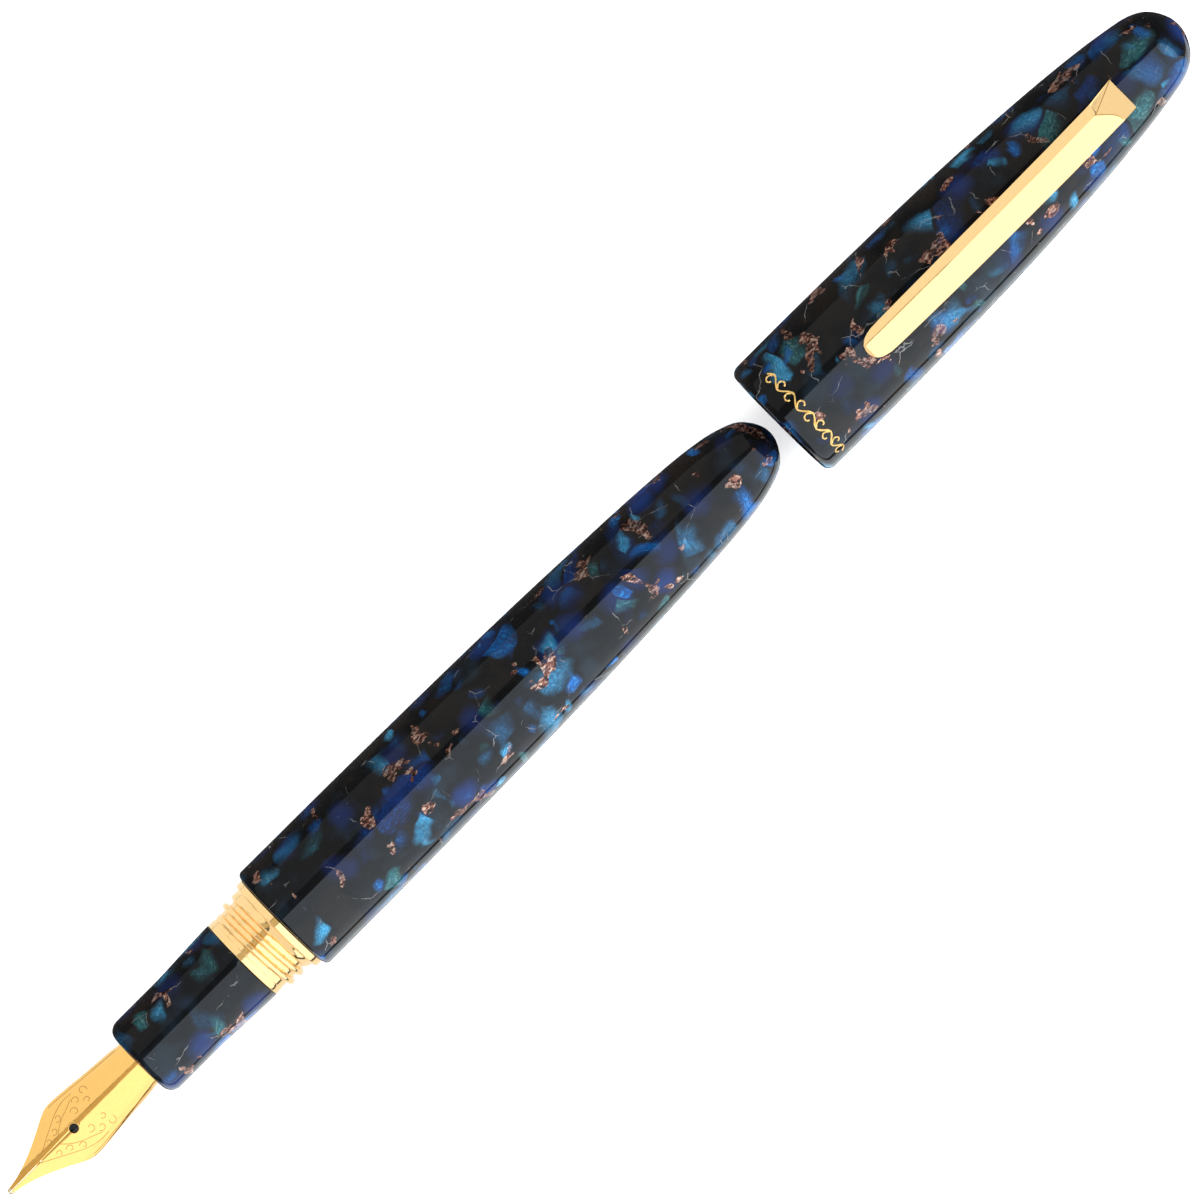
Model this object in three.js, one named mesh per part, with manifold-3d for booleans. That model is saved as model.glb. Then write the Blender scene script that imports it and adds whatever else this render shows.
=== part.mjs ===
// Fountain pen with its screw cap off: a three.js model in millimetres, +Z up.
// The pen lies along X with its nib towards -X, and the cap lies in line behind the barrel, its mouth
// towards the barrel's tail. The nib and the clip face up. Origin: bottom centre of the whole set.
import * as THREE from "three";
import { mergeVertices } from "three/addons/utils/BufferGeometryUtils.js";
import Module from "manifold-3d";

const wasm = await Module();
wasm.setup();

// Driving dimensions, in mm.
const capRadius = 8.37; // widest radius of the set, so also the height of the common axis
const capLength = 67.7;
const setHalfLength = 99.2; // nib point and cap crown lie this far from the origin
const tailX = 29.94; // end of the barrel
const gripBackX = -59.65; // back face of the grip section
const gripLength = 17.4;
const collarFlangeX = -52.88; // back face of the collar's flange
const threadPitch = 1.5; // single-start cap thread, right-hand
const clipRoll = 9.6; // degrees, clip turned about the axis towards -Y
const fitGap = 0.02; // between pieces that touch
const slideGap = 0.05; // between pieces that slide in each other
const outerSegments = 24;
const innerSegments = 16;

const capMouthX = setHalfLength - capLength;
const gripFrontX = gripBackX - gripLength;

// Materials.
function finish(color, roughness, metalness, opacity = 1) {
  const material = new THREE.MeshStandardMaterial({ color, roughness, metalness });
  material.opacity = opacity;
  material.transparent = opacity < 1;
  return material;
}
const resin = finish(0x26394c, 0.12, 0);
const gold = finish(0xe2b765, 0.15, 1);
const blackPlastic = finish(0x101012, 0.4, 0);
const clearPlastic = finish(0xd8e2e6, 0.08, 0, 0.35);
const steel = finish(0xb9bcc0, 0.25, 1);
const brass = finish(0xb08d4a, 0.3, 1);
const greyPlastic = finish(0x8c9096, 0.4, 0);
const rubber = finish(0x1b1b1d, 0.8, 0);
const tippingMetal = finish(0xcfd2d4, 0.2, 1);

// Shape helpers.
// A closed geometry as a solid that can be joined and cut.
function solid(geometry) {
  const bare = geometry.index ? geometry.toNonIndexed() : geometry.clone();
  bare.deleteAttribute("normal");
  bare.deleteAttribute("uv");
  const merged = mergeVertices(bare, 1e-4);
  const vertProperties = merged.attributes.position.array;
  const triVerts = new Uint32Array(merged.index.array);
  return new wasm.Manifold(new wasm.Mesh({ numProp: 3, vertProperties, triVerts }));
}

function geometryOf(made) {
  const { vertProperties, triVerts } = made.getMesh();
  const geometry = new THREE.BufferGeometry();
  geometry.setAttribute("position", new THREE.BufferAttribute(vertProperties, 3));
  geometry.setIndex(new THREE.BufferAttribute(triVerts, 1));
  geometry.computeVertexNormals();
  return geometry;
}

// A profile of [x, radius] points, forward along the outside and back along the bore, turned about X.
function turnedGeometry(profile, segments = innerSegments) {
  const points = profile.map(([x, radius]) => new THREE.Vector2(radius, x));
  const hollow = profile.every(([, radius]) => radius > 0);
  if (hollow) points.push(points[0].clone());
  return new THREE.LatheGeometry(points, segments).rotateZ(-Math.PI / 2);
}
const turned = (profile, segments) => solid(turnedGeometry(profile, segments));

// Points on an arc in a profile: its centre, its axial and radial sizes, and its angles in degrees.
function arc(centreX, centreR, sizeX, sizeR, fromDeg, toDeg, steps = 4) {
  const points = [];
  for (let i = 0; i <= steps; i++) {
    const a = THREE.MathUtils.degToRad(fromDeg + ((toDeg - fromDeg) * i) / steps);
    points.push([centreX + sizeX * Math.cos(a), centreR + sizeR * Math.sin(a)]);
  }
  return points;
}

// A smooth line through chosen [x, radius] points, as a list of such points.
function smooth(stations, count) {
  const curve = new THREE.SplineCurve(stations.map(([x, r]) => new THREE.Vector2(x, r)));
  return curve.getPoints(count).map((p) => [p.x, p.y]);
}

// Ridges of a screw thread seen in section, from one x towards +X.
function ridges(fromX, count, pitch, root, crest) {
  const points = [];
  for (let i = 0; i < count; i++) {
    points.push([fromX + i * pitch, root], [fromX + (i + 0.5) * pitch, crest]);
  }
  points.push([fromX + count * pitch, root]);
  return points;
}

class Helix extends THREE.Curve {
  constructor(fromX, pitch, turns, radius) {
    super();
    Object.assign(this, { fromX, pitch, turns, radius });
  }
  getPoint(t, target = new THREE.Vector3()) {
    const a = 2 * Math.PI * this.turns * t;
    const x = this.fromX + this.pitch * this.turns * t;
    return target.set(x, this.radius * Math.cos(a), this.radius * Math.sin(a));
  }
}

// A round wire or ridge along a helix about X.
function coil(helix, wireRadius, sides, stepsPerTurn) {
  const section = new THREE.Shape(
    Array.from({ length: sides }, (_, i) => {
      const a = (2 * Math.PI * i) / sides;
      return new THREE.Vector2(wireRadius * Math.cos(a), wireRadius * Math.sin(a));
    }),
  );
  const steps = Math.round(helix.turns * stepsPerTurn);
  return solid(new THREE.ExtrudeGeometry(section, { steps, bevelEnabled: false, extrudePath: helix }));
}

// An outline of [x, y] points stood up from one height to another.
function standing(outline, fromZ, toZ) {
  const shape = new THREE.Shape(outline.map(([x, y]) => new THREE.Vector2(x, y)));
  const geometry = new THREE.ExtrudeGeometry(shape, { depth: toZ - fromZ, bevelEnabled: false });
  return solid(geometry.translate(0, 0, fromZ));
}

// An outline of [x, z] points seen from the side, made so wide across Y.
function sideways(outline, width) {
  const shape = new THREE.Shape(outline.map(([x, z]) => new THREE.Vector2(x, z)));
  const geometry = new THREE.ExtrudeGeometry(shape, { depth: width, bevelEnabled: false });
  return solid(geometry.rotateX(Math.PI / 2).translate(0, width / 2, 0));
}

// A block between two corners.
function block(low, high, stepsX = 1) {
  const size = high.map((v, i) => v - low[i]);
  const centre = high.map((v, i) => (v + low[i]) / 2);
  return solid(new THREE.BoxGeometry(...size, stepsX).translate(...centre));
}

function piece(name, made, material) {
  const mesh = new THREE.Mesh(geometryOf(made), material);
  mesh.name = name;
  return mesh;
}

function groupOf(...children) {
  const group = new THREE.Group();
  group.add(...children);
  return group;
}

// Barrel: resin shell with a glued metal thread collar.
const spigotRadius = 6.5;
const spigotEndX = -44.6;
const collarBore = 4.92;
const boreRadius = 5.4;
const rearBoreRadius = 4.7;
const barrelFaceX = collarFlangeX + fitGap;

// Outside of the barrel: a long taper that rounds into the tail.
const barrelTaper = [
  [-52.2, 7.6],
  [-33, 7.5],
  [-10, 7.14],
  [6, 6.56],
  [16, 6.02],
  [22, 5.42],
  [26, 4.5],
  [28.6, 3],
  [tailX, 0],
];

function barrelShell() {
  return turned(
    [
      [tailX - 9, 0],
      [tailX - 9.6, 2],
      [tailX - 12, rearBoreRadius],
      [3, rearBoreRadius],
      [-5, boreRadius],
      [spigotEndX + 0.3, boreRadius],
      [spigotEndX + 0.3, spigotRadius + slideGap],
      [barrelFaceX, spigotRadius + slideGap],
      ...arc(-52.2, 7, -barrelFaceX - 52.2, 0.6, 180, 100, 3),
      ...smooth(barrelTaper, 14),
    ],
    outerSegments,
  );
}

function threadCollar() {
  const ringFront = gripBackX + fitGap;
  const body = turned(
    [
      ...arc(ringFront + 0.15, 5.65, 0.15, 0.15, 180, 90, 2),
      [ringFront + 1, 5.8],
      [ringFront + 1.06, 5.72],
      [-54.9, 5.72],
      [-54.8, 6],
      [-53.95, 6.4],
      [-53.85, 6.72],
      [-53.65, 6.83],
      [-53.05, 6.83],
      [collarFlangeX, 6.75],
      [collarFlangeX, spigotRadius],
      [spigotEndX, spigotRadius],
      [spigotEndX, collarBore],
      [ringFront, collarBore],
    ],
    outerSegments,
  );
  const ridge = new Helix(-57.96, threadPitch, 2, 5.88);
  return body.add(coil(ridge, 0.45, 6, outerSegments));
}

// Grip: resin section on a threaded metal tenon.
const housingSeat = 3.95; // radius of the section's front bore
const tenonSeat = 4.5;
const tenonBore = 3.8;

function gripSection() {
  const noseX = gripFrontX + 1.6;
  return turned(
    [
      [gripFrontX, housingSeat],
      ...arc(noseX, 4.2, 1.6, 1.275, 180, 90, 5),
      ...smooth([[-74.4, 5.475], [-68.1, 5.475], [-65.4, 5.6], [-62.5, 5.73], [gripBackX, 5.81]], 7),
      [gripBackX, tenonSeat + slideGap],
      [gripBackX - 4.4, tenonSeat + slideGap],
      [gripBackX - 4.4, tenonBore],
      [-66, tenonBore],
      [-66, housingSeat],
    ],
    outerSegments,
  );
}

function sectionTenon() {
  return turned([
    [gripBackX - 4.3, tenonSeat],
    [gripBackX + fitGap, tenonSeat],
    ...ridges(gripBackX + 0.6, 5, 1.4, 4.55, 4.84),
    [-51.4, 4.5],
    [-48.8, 4.5],
    [-48.5, 4.3],
    [-48.5, tenonBore],
    [gripBackX - 4.3, tenonBore],
  ]);
}

// Nib unit: nib, tipping, feed and the housing that screws into the section.
const nibBaseX = -77.5; // the nib is a half tube behind this and opens out in front of it
const nibRadius = 3.3;
const nibTipRadius = 6.6;
const nibThickness = 0.35;
const nibFall = 0.095; // slope of the nib's crest towards its point
const nibEndX = -setHalfLength + 0.6;
const breatherX = -88.04;
const breatherRadius = 0.6;
const slitWidth = 0.1;
const nibBackX = -68.6;
const nipple = { radius: 1.5, fromX: -66.4, toX: -60.2 };

// How far the tube's centre line has dropped below the axis at x, so that the crest falls evenly.
function nibDrop(x) {
  const ahead = Math.max(0, nibBaseX - x);
  const opening = (nibTipRadius - nibRadius) / (nibBaseX + setHalfLength);
  return ahead * (opening + nibFall);
}

function drooped(geometry) {
  const position = geometry.attributes.position;
  for (let i = 0; i < position.count; i++) {
    position.setZ(i, position.getZ(i) - nibDrop(position.getX(i)));
  }
  return solid(geometry);
}

// The nib's tube, or a solid that fills it, grown by an amount.
function nibForm(grow, bore) {
  const outside = [
    [-setHalfLength, nibTipRadius + grow],
    [nibBaseX, nibRadius + grow],
    [nibBackX, nibRadius + grow],
  ];
  const inside = bore
    ? [
        [nibBackX, nibRadius - nibThickness],
        [nibBaseX, nibRadius - nibThickness],
        [-setHalfLength, nibTipRadius - nibThickness],
      ]
    : [[nibBackX, 0]];
  const start = bore ? [] : [[-setHalfLength, 0]];
  return drooped(turnedGeometry([...start, ...outside, ...inside], 48));
}

// Half of the nib's outline seen from above, from its point to its back edge.
const nibEdge = [
  ...smooth([[nibEndX, 0.42], [-96.9, 0.74], [-94.5, 1.56], [-92.1, 2.66], [-90, 3.78]], 9),
  ...smooth([[-89.2, 4.1], [-88.2, 4.24], [-85.5, 4.05], [-82.5, 3.75], [-80, 3.58], [-77.6, 3.45]], 9),
  [nibBackX + 0.5, 3.45],
];
const bothSides = (edge) => [...edge, ...edge.map(([x, y]) => [x, -y]).reverse()];

function nibBlade() {
  const hole = new THREE.CylinderGeometry(breatherRadius, breatherRadius, 6, 16);
  hole.rotateX(Math.PI / 2).translate(breatherX, 0, 3);
  return nibForm(0, true)
    .intersect(standing(bothSides(nibEdge), -0.8, 5))
    .subtract(solid(hole))
    .subtract(block([-setHalfLength, -slitWidth / 2, -1], [breatherX, slitWidth / 2, 5]));
}

function tipping(side) {
  const radius = 0.5;
  const crest = nibRadius - nibFall * (nibBaseX - nibEndX);
  const centreX = -setHalfLength + radius;
  const ball = new THREE.SphereGeometry(radius, 16, 12).translate(centreX, 0, crest - 0.35);
  const near = (side * slitWidth) / 2;
  const far = side * 2;
  const half = block(
    [-setHalfLength - 1, Math.min(near, far), -3],
    [nibEndX - fitGap, Math.max(near, far), 3],
  );
  return solid(ball).intersect(half);
}

function feedBody() {
  const feedEnd = -94.4;
  const backX = nibBackX + 0.1;
  const profile = [
    [feedEnd, 1.2],
    [-91, -0.5],
    [-88, -1.7],
    [-84, -2.7],
    [-79, -3.3],
    [backX, -3.36],
    [backX, 4],
    [feedEnd, 4],
  ];
  const edge = [[feedEnd, 0.45], [-91, 1.35], [-87, 2.4], [-83, 2.85], [backX, 2.85]];
  const underNib = nibForm(-nibThickness - 0.06, false)
    .intersect(sideways(profile, 9))
    .intersect(standing(bothSides(edge), -5, 5));
  const belly = turned([[-83, 0], [-83, 3.34], [backX, 3.34], [backX, 0]], 48)
    .intersect(sideways(profile, 9))
    .intersect(block([-84, -5, -5], [backX, 5, -0.95]));
  const tail = turned([[backX - 0.5, 0], [backX - 0.5, 0.9], [-61, 0.9], [-61, 0]], 12);
  let feed = underNib.add(belly).add(tail);
  for (let i = 0; i < 8; i++) {
    const x = -87.2 + 1.15 * i;
    feed = feed.subtract(block([x, -5, -5], [x + 0.45, 5, -1.1]));
  }
  const channel = new THREE.BoxGeometry(16, 0.3, 2).translate(-8.5, 0, 0);
  channel.rotateY(-Math.atan(nibFall)).translate(nibBaseX, 0, nibRadius);
  return feed.subtract(solid(channel));
}

function nibHousing() {
  const frontX = gripFrontX + 0.12;
  return turned([
    [frontX, 3.44],
    [frontX, 3.8],
    [frontX + 0.1, 3.89],
    [frontX + 1.2, 3.89],
    ...ridges(frontX + 1.4, 4, 1.5, 3.7, 3.89),
    [nipple.fromX - 1.6, 3.65],
    [nipple.fromX - 0.4, 3],
    [nipple.fromX, nipple.radius],
    [nipple.toX - 0.3, nipple.radius],
    [nipple.toX, nipple.radius - 0.2],
    [nipple.toX, 0.96],
    [nibBackX + 0.15, 0.96],
    [nibBackX + 0.15, 3.44],
  ]);
}

// Converter: a small screw-piston pump that sits on the nipple.
const tubeRadius = 3.65;
const tubeBore = 2.9;
const tubeFrontX = -65.9;
const tubeBackX = -13;
const pumpStroke = 16;
const knobFrontX = -12.6;
const knobBackX = 8.4;
const rodRadius = 1.3;
const rodFlat = 0.95; // half the rod's width across its flats

function converterTube() {
  return turned([
    [tubeFrontX, 1.56],
    [tubeFrontX, 2.9],
    [tubeFrontX + 0.5, 3.2],
    [-61, 3.2],
    [-60.4, tubeRadius],
    [tubeBackX, tubeRadius],
    [tubeBackX, tubeBore],
    [-59.6, tubeBore],
    [-59.9, 1.56],
  ]);
}

function converterSleeve() {
  return turned([
    [-27.8, 3.7],
    ...arc(-27.5, 3.8, 0.3, 0.3, 150, 90, 2),
    [tubeBackX + 0.1, 4.1],
    [tubeBackX + 0.1, 3.7],
  ]);
}

// A hole or shaft with two flats along X.
function flatted(fromX, toX, radius, flat) {
  const round = turned([[fromX, 0], [fromX, radius], [toX, radius], [toX, 0]], 16);
  return round.intersect(block([fromX, -flat, -3], [toX, flat, 3]));
}

function rodGuide() {
  const bush = turned([
    [-20, 0],
    [-20, tubeBore - slideGap],
    [tubeBackX + 0.03, tubeBore - slideGap],
    [tubeBackX + 0.03, 3.6],
    [tubeBackX + 0.3, 3.6],
    [tubeBackX + 0.3, 0],
  ]);
  return bush.subtract(flatted(-21, -12, rodRadius + slideGap, rodFlat + slideGap));
}

function converterKnob() {
  return turned([
    [knobBackX - 1, 0],
    [knobBackX - 1, 1.7],
    [knobFrontX + 3.5, 1.7],
    [knobFrontX + 3.5, 2.75],
    [knobFrontX, 2.75],
    [knobFrontX, 3.6],
    [knobFrontX + 0.3, 3.8],
    [knobFrontX + 8, 3.8],
    [knobFrontX + 8.5, 3.65],
    [knobBackX - 4, 3.65],
    [knobBackX - 3.5, 3.8],
    ...arc(knobBackX - 0.8, 3, 0.8, 0.8, 90, 0, 3),
    [knobBackX, 0],
  ]);
}

function driveNut() {
  return turned([
    [knobFrontX + 0.1, 1.4],
    [knobFrontX + 0.1, 2.7],
    [knobFrontX + 3.4, 2.7],
    [knobFrontX + 3.4, 1.4],
  ]);
}

function pistonRod() {
  const endX = knobBackX - 1.3 - pumpStroke;
  const shaft = flatted(-55.4, endX, rodRadius, rodFlat);
  const stub = turned([[-57.2, 0], [-57.2, 0.9], [-55.3, 0.9], [-55.3, 0]], 12);
  return shaft.add(stub);
}

function pistonSeal() {
  return turned([
    [-59.2, 0],
    [-59.2, 2.5],
    [-58.9, tubeBore - 0.03],
    [-58.4, tubeBore - 0.03],
    [-58, 2.5],
    [-56.6, 2.5],
    [-56.2, tubeBore - 0.03],
    [-55.7, tubeBore - 0.03],
    [-55.45, 2.5],
    [-55.45, 0.93],
    [-57.25, 0.93],
    [-57.25, 0],
  ]);
}

// Cap, in its own x from the mouth (0) to the crown.
const ringGroove = { fromX: 21, toX: 21.95, radius: 6.7 };
const linerBore = 6.2; // radius in which the inner cap slides
const linerBackX = 48.6;
const clipSeatX = 56.5; // shoulder that the clip anchor bears on
const anchorThickness = 1;
const clipScrewHole = 2.5;

// Outside of the cap behind its rounded mouth: nearly straight, then a long taper to the crown.
const capTaper = [
  [2.3, capRadius],
  [11, 8.36],
  [24, 8.18],
  [34, 7.9],
  [45, 7.3],
  [54, 6.54],
  [61, 5.6],
  [64.6, 4.7],
  [66.7, 2.96],
  [capLength, 0],
];

function capShell() {
  const slot = new THREE.BoxGeometry(1.6, 3.6, 5.5).translate(clipSeatX - 0.55, 0, 6.25);
  slot.rotateX(THREE.MathUtils.degToRad(clipRoll));
  const body = turned(
    [
      [61, 0],
      [61, clipScrewHole],
      [clipSeatX, clipScrewHole],
      [clipSeatX, 4],
      [49.2, 4.1],
      [40, linerBore],
      [ringGroove.toX, linerBore],
      [ringGroove.toX, ringGroove.radius],
      [ringGroove.fromX, ringGroove.radius],
      [ringGroove.fromX, 6.35],
      [6.6, 6.35],
      [6.3, 6.55],
      [2.1, 6.55],
      [1.1, 7],
      [0, 7],
      ...arc(1.3, 7.39, 1.3, capRadius - 7.39, 180, 100, 4),
      ...smooth(capTaper, 15),
    ],
    outerSegments,
  );
  const thread = coil(new Helix(2.9, threadPitch, 2, 6.64), 0.42, 5, 16);
  return body.add(thread).subtract(solid(slot));
}

function retainingRing() {
  const ring = turned([
    [ringGroove.fromX + 0.05, 5.8],
    [ringGroove.fromX + 0.05, 6.6],
    [ringGroove.toX - 0.05, 6.6],
    [ringGroove.toX - 0.05, 5.8],
  ]);
  return ring.subtract(block([20, -1, 3], [23, 1, 8]));
}

function innerCap() {
  const frontX = ringGroove.toX + fitGap;
  return turned(
    [
      [linerBackX - 1.2, 0],
      [linerBackX - 1.2, 2.9],
      [36.8, 5.35],
      [frontX + 1.5, 5.35],
      [frontX + 1.5, 5.62],
      [frontX, 5.62],
      [frontX, linerBore - 0.06],
      [36.8, linerBore - 0.06],
      [linerBackX - 0.8, 3.7],
      [linerBackX, 3.5],
      [linerBackX, 0],
    ],
    outerSegments,
  );
}

function innerCapSeal() {
  return turned(
    [
      [ringGroove.toX - 0.45, 5.1],
      ...arc(ringGroove.toX - 0.25, 5.35, 0.2, 0.2, 180, 90, 2),
      [ringGroove.toX + 1.48, 5.57],
      [ringGroove.toX + 1.48, 5],
      [ringGroove.toX - 0.1, 5],
    ],
    outerSegments,
  );
}

function capSpring() {
  const wire = 0.28;
  const fromX = linerBackX + wire + 0.06;
  const toX = clipSeatX - 2.6 - wire - 0.06;
  const turns = 4;
  return coil(new Helix(fromX, (toX - fromX) / turns, turns, 2.95), wire, 5, 12);
}

function clipScrew() {
  const headX = clipSeatX - 2.6;
  const body = turned([
    [headX, 0],
    [headX, 3.4],
    [headX + 0.2, 3.6],
    [headX + 1.5, 3.6],
    [headX + 1.5, clipScrewHole - slideGap],
    [60.5, clipScrewHole - slideGap],
    [60.8, clipScrewHole - 0.3],
    [60.8, 0],
  ]);
  return body.subtract(block([headX - 1, -5, -0.4], [headX + 0.7, 5, 0.4]));
}

// The washer and tongue that hold the clip: the tongue reaches out through the cap's slot.
function clipAnchor() {
  const fromX = clipSeatX - fitGap - anchorThickness;
  const washer = turned([
    [fromX, clipScrewHole + slideGap],
    [fromX, 3.88],
    [clipSeatX - fitGap, 3.88],
    [clipSeatX - fitGap, clipScrewHole + slideGap],
  ]);
  return washer.add(block([fromX, -1.5, 3.2], [clipSeatX - fitGap, 1.5, 6.6]));
}

// The clip: its side outline as [x, distance from the axis] and half of its outline from outside.
const clipUnderside = [
  [13.1, 9.1],
  [13.6, 8.6],
  [14.6, 8.47],
  [16.4, 8.47],
  [19.5, 9],
  [30, 9.25],
  [40, 9.1],
  [50, 8.5],
  [53.4, 8],
  [54.6, 7.1],
  [55.2, 6.92],
  [56.6, 6.92],
];
const clipTop = [
  [56.6, 7.3],
  [56.2, 7.7],
  [52.4, 9.35],
  [45, 10.05],
  [35, 10.3],
  [25, 10.3],
  [16, 10],
  [13.6, 9.7],
];
const clipEdge = [
  [13.1, 0.3],
  [13.3, 0.95],
  [13.9, 1.5],
  [15, 1.87],
  [17, 1.95],
  [30, 2.1],
  [45, 2.15],
  [53, 2.18],
  [56.6, 2.3],
];

function clipBlade() {
  return sideways([...clipUnderside, ...clipTop], 6).intersect(standing(bothSides(clipEdge), 5, 12));
}

// The set.
const barrelGroup = groupOf(
  piece("barrel", barrelShell(), resin),
  piece("thread_collar", threadCollar(), gold),
);
const gripGroup = groupOf(
  piece("grip_section", gripSection(), resin),
  piece("section_tenon", sectionTenon(), steel),
);
const nibGroup = groupOf(
  piece("nib", nibBlade(), gold),
  piece("tipping_left", tipping(-1), tippingMetal),
  piece("tipping_right", tipping(1), tippingMetal),
  piece("feed", feedBody(), blackPlastic),
  piece("nib_housing", nibHousing(), blackPlastic),
);
const converterGroup = groupOf(
  piece("converter_tube", converterTube(), clearPlastic),
  piece("converter_sleeve", converterSleeve(), gold),
  piece("rod_guide", rodGuide(), blackPlastic),
  piece("converter_knob", converterKnob(), blackPlastic),
  piece("drive_nut", driveNut(), brass),
  piece("piston_rod", pistonRod(), greyPlastic),
  piece("piston_seal", pistonSeal(), rubber),
);
const clipGroup = groupOf(
  piece("clip", clipBlade(), gold),
  piece("clip_anchor", clipAnchor(), gold),
);
clipGroup.rotation.x = THREE.MathUtils.degToRad(clipRoll);
const capGroup = groupOf(
  piece("cap_shell", capShell(), resin),
  piece("retaining_ring", retainingRing(), steel),
  piece("inner_cap", innerCap(), blackPlastic),
  piece("inner_cap_seal", innerCapSeal(), rubber),
  piece("cap_spring", capSpring(), steel),
  piece("clip_screw", clipScrew(), brass),
  clipGroup,
);
capGroup.position.x = capMouthX;
gripGroup.add(nibGroup, converterGroup);
barrelGroup.add(gripGroup, capGroup);
barrelGroup.position.z = capRadius;

export default barrelGroup;
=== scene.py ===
# A marbled fountain pen with its cap off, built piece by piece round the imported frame.
# Shapes are worked out in millimetres about the pen's own axis, and become metres in makeObject.
import math
import bmesh
import bpy
from mathutils import Matrix, Vector
from mathutils.geometry import interpolate_bezier


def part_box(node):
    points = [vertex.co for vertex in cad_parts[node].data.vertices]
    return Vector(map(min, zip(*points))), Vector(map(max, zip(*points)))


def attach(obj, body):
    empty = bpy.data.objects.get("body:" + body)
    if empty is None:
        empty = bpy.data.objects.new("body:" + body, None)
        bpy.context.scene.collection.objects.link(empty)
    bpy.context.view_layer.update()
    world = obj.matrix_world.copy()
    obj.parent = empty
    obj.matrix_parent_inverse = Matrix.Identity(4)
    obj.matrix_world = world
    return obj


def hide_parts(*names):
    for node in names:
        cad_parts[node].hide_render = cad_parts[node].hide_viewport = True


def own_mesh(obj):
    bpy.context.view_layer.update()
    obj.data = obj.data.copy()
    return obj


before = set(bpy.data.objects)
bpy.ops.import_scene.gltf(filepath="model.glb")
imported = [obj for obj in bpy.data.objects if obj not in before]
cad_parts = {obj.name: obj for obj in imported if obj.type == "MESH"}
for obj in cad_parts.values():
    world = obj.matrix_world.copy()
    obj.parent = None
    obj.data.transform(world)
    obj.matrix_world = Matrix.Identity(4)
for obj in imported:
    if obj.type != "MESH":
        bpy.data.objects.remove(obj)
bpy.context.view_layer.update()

mm = 0.001


def spanOf(node):
    # where a CAD node starts and ends along the pen, in mm
    low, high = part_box(node)
    return low[0] / mm, high[0] / mm


capLow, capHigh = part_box("cap_shell")
axisHeight = (capLow[2] + capHigh[2]) / 2 / mm
barrelFront, barrelEnd = spanOf("barrel")
collarFront, collarEnd = spanOf("thread_collar")
gripFront, gripBack = spanOf("grip_section")
capMouth, capCrown = spanOf("cap_shell")
clipTip, clipEnd = spanOf("clip")
nibPoint, nibBack = spanOf("nib")
clipRoll = math.radians(9.6)


def linked(name, data):
    made = bpy.data.objects.new(name, data)
    bpy.context.collection.objects.link(made)
    return made


def meshObject(name, bm):
    mesh = bpy.data.meshes.new(name)
    bm.to_mesh(mesh)
    bm.free()
    return linked(name, mesh)


# Light, floor and camera.

studio = {
    "cameraX": 1.26,
    "cameraY": 0.18,
    "cameraHeight": 1200,
    "pictureWidth": 144,
    "sensorWidth": 36,
    "turn": -45,
    "floorSize": 5,
    "floorDepth": 0.0002,
    "floorColour": (0.9, 0.9, 0.9),
    "dimWorld": (0.06, 0.06, 0.065, 1),  # what the pen sees around it, apart from the soft boxes
}

# soft boxes, in metres: where each starts and ends, its width, strength, tint and what it lights
softBoxes = {
    "near side panel": [(0, 0, 1.6), (0, -1.7, 0.16), 3.4, 5.0, (0.86, 0.95, 1.05), "rest"],
    "near low panel": [(0, -1.7, 0.16), (0, -1.75, -0.9), 3.4, 4.6, (0.86, 0.95, 1.05), "rest"],
    "near floor glow": [(0, -1.6, -1.1), (0, -0.45, -1.65), 3.4, 4.2, (0.9, 0.97, 1), "rest"],
    "far side panel": [(0, 0.45, 1.6), (0, 1.7, 0.2), 3.4, 0.9, (1, 1, 1), "rest"],
    "near side panel on gold": [(0, 0, 1.6), (0, -1.7, 0.16), 2.6, 4.8, (1, 1, 1), "gold"],
    "near low panel on gold": [(0, -1.7, 0.16), (0, -1.75, -0.9), 3.4, 4.4, (1, 1, 1), "gold"],
    "far side panel on gold": [(0, 0.45, 1.6), (0, 1.7, 0.2), 2.6, 3.1, (1, 0.94, 0.82), "gold"],
    "top gap on gold": [(0, 0.03, 1.62), (0, 0.42, 1.62), 3.4, 1.8, (1, 0.82, 0.5), "gold"],
    "far low panel on gold": [(0, 1.7, 0.2), (0, 1.5, -1.1), 3.4, 3.1, (1, 0.95, 0.86), "gold"],
    "under panel on gold": [(0, 1.5, -1.15), (0, -1.6, -1.15), 3.4, 3.1, (1, 0.96, 0.88), "gold"],
    "crown end panel": [(1.76, 0, 1.6), (1.76, 0, -0.6), 3.4, 2.9, (1, 0.94, 0.85), "gold"],
    "nib end panel": [(-1.76, 0, 1.6), (-1.76, 0, -0.6), 3.4, 2.9, (1, 0.94, 0.85), "gold"],
    "floor fill": [(0, -3, 2.2), (0, 3, 2.2), 6, 12.0, (1, 1, 1), "floor"],
}


def addCamera():
    camera = linked("camera", bpy.data.cameras.new("camera"))
    camera.data.sensor_width = studio["sensorWidth"]
    camera.data.lens = studio["sensorWidth"] * studio["cameraHeight"] / studio["pictureWidth"]
    camera.data.clip_end = 20
    height = axisHeight + studio["cameraHeight"]
    camera.location = (studio["cameraX"] * mm, studio["cameraY"] * mm, height * mm)
    camera.rotation_euler = (0, 0, math.radians(studio["turn"]))
    bpy.context.scene.camera = camera


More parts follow.
